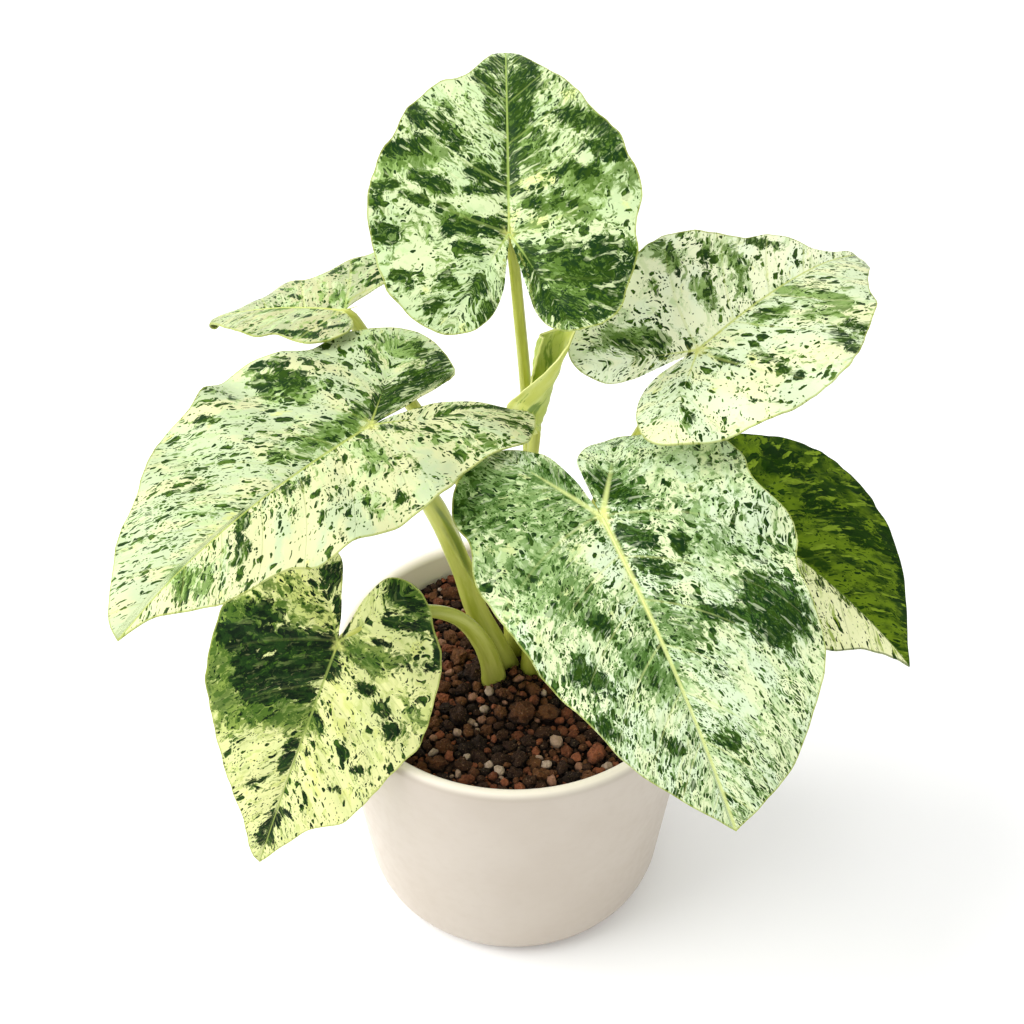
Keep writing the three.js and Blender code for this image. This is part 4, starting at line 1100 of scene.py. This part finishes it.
# The pot.
def turned(name, profile, sides):
    """Extrudes and resizes a disc along a profile of radius and height."""
    select_none()
    radius, height = (size * MM for size in profile[0])
    bpy.ops.mesh.primitive_circle_add(vertices=sides, radius=radius, fill_type="NGON",
                                      location=(0, 0, height))
    piece = bpy.context.object
    piece.name = name
    bpy.ops.object.transform_apply(location=True)
    bpy.ops.object.mode_set(mode="EDIT")
    bpy.ops.mesh.select_all(action="SELECT")
    for (radius, height), (next_radius, next_height) in zip(profile, profile[1:]):
        rise = (next_height - height) * MM
        bpy.ops.mesh.extrude_region_move(TRANSFORM_OT_translate={"value": (0, 0, rise)})
        growth = next_radius / radius
        bpy.ops.transform.resize(value=(growth, growth, 1), center_override=(0, 0, next_height * MM))
    bpy.ops.mesh.select_all(action="SELECT")
    bpy.ops.mesh.normals_make_consistent(inside=False)
    bpy.ops.object.mode_set(mode="OBJECT")
    piece.data.name = name
    return piece


def outer_radius(z):
    return RIM_RADIUS - (POT_HEIGHT - 3 - z) * POT_TAPER


def pot():
    foot = [(50.2, 0.6), (51.2, 0.1), (54.5, 0.25), (57.6, 1.2), (60.2, 2.8), (62.4, 5.0), (64, 7.8),
            (65.1, 10.8)]
    outside = [(outer_radius(z), z) for z in (FOOT_TOP, 30, 50, 70, 90, 105, 116)]
    rim_height = POT_HEIGHT - RIM_ROUND
    wall = outer_radius(rim_height)
    lip_steps = 18
    turns = [math.pi * step / lip_steps for step in range(lip_steps + 1)]
    lip = [(wall - RIM_ROUND + 0.1 + RIM_ROUND * math.cos(turn) * 0.98,
            rim_height + RIM_ROUND * math.sin(turn)) for turn in turns]
    inner = [(wall - WALL - (rim_height - z) * POT_TAPER, z) for z in (119, 116, 112, 100, 60, 18)]
    floor = [(58, FLOOR + 4), (52, FLOOR + 0.6), (30, FLOOR + 0.1)]
    piece = turned("pot_body", foot + outside + lip + inner + floor, POT_SIDES)
    places = [(math.hypot(v.co.x, v.co.y) / MM, v.co.z / MM) for v in piece.data.vertices]
    # Painted light: the inner wall and the top of the lip get a value up to 1. The glaze turns it into
    # painted light on the wall and a painted highlight on the lip.
    inside = [min(max((outer_radius(z) - 0.5 - r) / 2, 0), 1) if z > 15 else 0 for r, z in places]
    give(piece, "inside", inside)
    smooth(piece, 40)
    return piece


def pot_paint():
    """Cream satin glaze with a faint mottle and soft drift of tone, with painted light on the inner wall and
    a painted highlight on the top of the lip.
    """
    paint = Paint("cream_glaze", 0.42)
    place = paint.place()
    colour = paint.uneven(paint.noise(place, 14, 3), 0.35, 0.65, (190, 180, 167), (184, 173, 159))
    mottle = paint.noise(place, 240, 4)
    colour = paint.blend(paint.step(mottle, 0.5, 0.75, 0.0, 0.18), colour, tint(182, 171, 156))
    # Painted light on the inner wall and a painted highlight on the lip, where the inside value is high.
    colour = paint.blend(paint.value("inside"), colour, tint(246, 236, 222))
    speck = paint.step(paint.cells(place, 420), 0.05, 0.09, 0.2, 0.0)
    pick = paint.part(paint.cells(place, 420, "Color"), 0)
    colour = paint.blend(paint.times(speck, paint.under(pick, 0.08)), colour, tint(156, 142, 124))
    height = paint.plus(paint.times(paint.noise(place, 60, 2), 0.7), paint.times(mottle, 0.3))
    return paint.finish(colour, height, 0.0002, 0.25, paint.step(mottle, 0.3, 0.7, 0.38, 0.48))


# The soil and its grains.
def mound(x, y):
    """How much the mix is heaped up round the stalks."""
    return 9 * math.exp(-(x ** 2 + (y + 8) ** 2) / 20 ** 2)


def soil_bed():
    inner = outer_radius(SOIL_TOP) - WALL - SOIL_GAP
    foot = outer_radius(18) - WALL - SOIL_GAP
    profile = [(44, FLOOR + SOIL_GAP), (51, FLOOR + 1.1), (56, FLOOR + 4.6), (foot, 18),
               (inner, SOIL_TOP - 2.2), (inner - 0.8, SOIL_TOP - 0.9)]
    rings = 26
    profile += [(inner - 2 - k * 2.6, SOIL_TOP - 0.6) for k in range(rings)]
    bed = turned("soil_bed", profile, 120)
    for vertex in bed.data.vertices:
        x, y, z = vertex.co / MM
        if z > SOIL_TOP - 1:
            bump = noise.fractal(Vector((x, y, 4)) / 4, 1, 2, 3)
            vertex.co.z += (0.9 * bump + mound(x, y)) * MM
    select_none()
    middle = Vector((*CORM_CENTRE, CORM_HOLE_MIDDLE)) * MM
    bpy.ops.mesh.primitive_cylinder_add(vertices=48, radius=CORM_HOLE_RADIUS * MM,
                                        depth=CORM_HOLE_DEPTH * MM, location=middle)
    hollow = bpy.context.object
    apply_modifier(bed, "BOOLEAN", operation="DIFFERENCE", object=hollow, solver="EXACT")
    bpy.data.objects.remove(hollow)
    smooth(bed, 50)
    return bed


def grain_kinds(count, seed, faces, roughness, squash):
    """Lumps broken like lava or pumice, each a sphere with its corners pushed in and out."""
    kinds = []
    for k in range(count):
        select_none()
        bpy.ops.mesh.primitive_ico_sphere_add(subdivisions=faces, radius=1)
        lump = bpy.context.object
        stretch = Vector((1, 0.68 + 0.3 * ((k * 7) % 5) / 5, squash + 0.2 * ((k * 3) % 4) / 4))
        for vertex in lump.data.vertices:
            way = vertex.co.normalized()
            dent = noise.fractal(way * 1.5 + Vector((k * 9, seed, 0)), 0.7, 2.1, 5)
            chip = abs(noise.noise(way * 2.6 + Vector((seed, k * 5, 2)))) - 0.2
            pit = noise.noise(way * 7 + Vector((k, seed * 3, 6)))
            size = 1 + roughness * (dent + 0.9 * chip + 0.22 * pit)
            vertex.co = Vector((way.x * stretch.x, way.y * stretch.y, way.z * stretch.z)) * size
        kinds.append(lump)
    return kinds


def scatter_grains():
    """Places the grains from the largest down, each where it has room."""
    draw = random.Random(29)
    reach = outer_radius(SOIL_TOP) - WALL - 1.2
    placed, spots = [], {}
    sizes = [draw.uniform(low, high) for low, high, count in GRAIN_SIZES for _ in range(count)]
    stems = [(*made["path"][0][:2], made["radii"][0] * 1.15) for made in STALKS.values()]

    def cell(x, y):
        return int(x // SEARCH_CELL), int(y // SEARCH_CELL)

    def lay(x, y, size, kind):
        placed.append((x, y, size, kind))
        spots.setdefault(cell(x, y), []).append((x, y, size))

    def neighbours(x, y):
        column, row = cell(x, y)
        cells = [(column + i, row + j) for i in (-1, 0, 1) for j in (-1, 0, 1)]
        return [grain for key in cells for grain in spots.get(key, ())]

    for grain in CHOSEN_GRAINS:
        lay(*grain)
    for size in sizes:
        kind = "pumice" if 1.2 < size < 2.9 and draw.random() < 0.1 else "lava"
        for _ in range(GRAIN_TRIES):
            turn, out = draw.uniform(0, 2 * math.pi), (reach - size) * math.sqrt(draw.random())
            x, y = out * math.cos(turn), out * math.sin(turn)
            if any(math.hypot(x - sx, y - sy) < sr + STEM_ROOM * size for sx, sy, sr in stems):
                continue
            if all(math.hypot(x - gx, y - gy) > GRAIN_ROOM * (size + gs) for gx, gy, gs in neighbours(x, y)):
                lay(x, y, size, kind)
                break
    return placed


def grains():
    """Lava and pumice in one layer; big grains have finer faces than small ones."""
    draw = random.Random(5)
    lumps = {"lava": grain_kinds(7, 3, 3, 0.4, 0.62), "pumice": grain_kinds(5, 8, 3, 0.36, 0.7)}
    fine = {"lava": grain_kinds(6, 13, 2, 0.42, 0.62), "pumice": grain_kinds(4, 18, 2, 0.32, 0.75)}
    crumb = {"lava": grain_kinds(6, 33, 1, 0.5, 0.62), "pumice": grain_kinds(3, 38, 1, 0.2, 0.8)}
    made = {"lava": [], "pumice": []}
    for x, y, size, kind in scatter_grains():
        choice = (lumps if size > BIG_GRAIN else fine if size > SMALL_GRAIN else crumb)[kind]
        source = choice[draw.randrange(len(choice))]
        turn = Matrix.Rotation(draw.uniform(0, 6.28), 4, "Z")
        turn = turn @ Matrix.Rotation(draw.uniform(-0.5, 0.5), 4, "X")
        height = SOIL_TOP + mound(x, y) + size * draw.uniform(-0.15, 0.3) + draw.uniform(-0.5, 0.9)
        place = Matrix.Translation(Vector((x, y, height)) * MM) @ turn @ Matrix.Scale(size * MM, 4)
        grain = bpy.data.objects.new("grain", source.data.copy())
        grain.data.transform(place)
        bpy.context.scene.collection.objects.link(grain)
        give(grain, "tone", [draw.random()] * len(grain.data.vertices))
        give(grain, "sunk", [(height - v.co.z / MM) / size for v in grain.data.vertices])
        made[kind].append(grain)
    for source in [lump for kinds in (lumps, fine, crumb) for shapes in kinds.values() for lump in shapes]:
        bpy.data.objects.remove(source)
    pieces = [join("lava_grains", made["lava"]), join("pumice_grains", made["pumice"])]
    for piece in pieces:
        smooth(piece, 26)
    return pieces


def grain_paint(name, colours, pit):
    paint = Paint(name, 0.9, Specular_IOR_Level=0.2)
    place = paint.place()
    tone = paint.value("tone")
    colour = tint(*colours[0])
    for step, shade in enumerate(colours[1:], 1):
        level = step / len(colours)
        colour = paint.blend(paint.maths("GREATER_THAN", tone, level), colour, tint(*shade))
    mottle = paint.noise(place, 520, 4, 0.65)
    colour = paint.blend(paint.step(mottle, 0.3, 0.72, 0.45, 0.0), colour, tint(*pit))
    # Painted glints: small light golden-tan flecks on the grains, in place of glints of light.
    painted_glint = paint.noise(place, 1300, 2)
    colour = paint.blend(paint.step(painted_glint, 0.6, 0.75, 0.0, 0.3), colour, tint(196, 160, 130))
    shaded = paint.step(paint.value("sunk"), -0.55, 0.1, 0.0, 0.92)
    colour = paint.blend(shaded, colour, tint(14, 9, 6))
    pores = paint.cells(place, 900)
    height = paint.plus(paint.times(mottle, 0.6), paint.times(pores, 0.5))
    return paint.finish(colour, height, 0.0009, 0.9)


def bed_paint():
    paint = Paint("dark_soil", 0.95, Specular_IOR_Level=0.15)
    crumbs = paint.noise(paint.place(), 380, 5, 0.7)
    # Partly the soil's own dark brown, partly painted shade: the bed is kept near black for the shade in the
    # gaps between the grains.
    colour = paint.uneven(crumbs, 0.35, 0.68, (14, 9, 6), (40, 25, 16))
    return paint.finish(colour, crumbs, 0.0012, 1.0)


def corm_paint():
    paint = Paint("corm_cork", 0.85)
    rings = paint.noise(paint.resized(paint.place(), 60.0, 60.0, 500.0), 1.0, 3)
    colour = paint.uneven(rings, 0.35, 0.65, (96, 72, 44), (142, 116, 74))
    return paint.finish(colour, rings, 0.0006, 0.8)


# The parts, put together.
for name, leaf in LEAVES.items():
    piece = keep(blade(name, leaf), "variegated_leaf", f"blade_{name}")
    wear(piece, leaf_paint(name, leaf), leaf_paint(name, leaf, underside=True))
    wear(keep(ribs(name, leaf), "variegated_leaf"), rib_paint(name, leaf["look"]))

wear(keep(furled_leaf(), "furled_leaf_green", "blade_h_furled"), furled_paint())

yellow = stalk_paint("yellow_stalk", (188, 193, 84), (162, 168, 50), (124, 132, 40))
green = stalk_paint("green_stalk", (188, 192, 94), (162, 170, 60), (128, 132, 46))
sheath_groove = (0.12, 0.0165, 6.2, 11.4)
sheathed = stalk_paint("sheathed_stalk", (188, 192, 94), (164, 172, 62), (128, 132, 46), sheath_groove)
for name, made in STALKS.items():
    skin = sheathed if name in GROOVES else yellow if name in "abh" else green
    wear(keep(stalk(name, made), "stalk_green", f"stalk_{name}"), skin)

wear(keep(pot(), "pot_glaze", "pot"), pot_paint())
wear(keep(soil_bed(), "potting_mix", "soil"), bed_paint())
lava, pumice = grains()
wear(keep(lava, "potting_mix"), grain_paint("lava", LAVA_TONES, (34, 22, 15)))
wear(keep(pumice, "potting_mix"), grain_paint("pumice", PUMICE_TONES, (118, 92, 72)))
wear(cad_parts["corm"], corm_paint())

# The floor, the light and the camera.
select_none()
bpy.ops.mesh.primitive_plane_add(size=12)
floor = bpy.context.object
floor.name = "studio_floor"
floor_paint = Paint("studio_white", 0.9)
shade = floor_paint.blend(floor_paint.noise(floor_paint.place(), 3), tint(253, 253, 253), tint(255, 255, 255))
wear(floor, floor_paint.finish(shade))

scene = bpy.context.scene
world = bpy.data.worlds.new("studio")
world.use_nodes = True
sky = world.node_tree.nodes["Background"].inputs
sky["Color"].default_value = (1, 1, 1, 1)
sky["Strength"].default_value = SKY
scene.world = world


def lamp(name, place, aim, size, power):
    data = bpy.data.lights.new(name, "AREA")
    data.shape = "DISK"
    data.size = size
    data.energy = power
    light = bpy.data.objects.new(name, data)
    light.location = place
    light.rotation_euler = (Vector(aim) - Vector(place)).to_track_quat("-Z", "Y").to_euler()
    scene.collection.objects.link(light)


lamp("window", (-1.5, -0.25, 1.85), (0, 0, 0.15), 2.2, KEY)
lamp("side", (-1.4, 0.25, 0.45), (0, 0, 0.1), 0.5, SIDE)

lens = bpy.data.cameras.new("camera")
lens.lens = LENS
lens.sensor_width = SENSOR
lens.clip_end = 50
camera = bpy.data.objects.new("camera", lens)
back = Vector((0, -math.cos(VIEW_HEIGHT), math.sin(VIEW_HEIGHT)))
camera.location = (VIEW_CENTRE + VIEW_DISTANCE * back) * MM
camera.rotation_euler = (math.pi / 2 - VIEW_HEIGHT, 0, 0)
scene.collection.objects.link(camera)
scene.camera = camera
scene.view_settings.view_transform = "Standard"
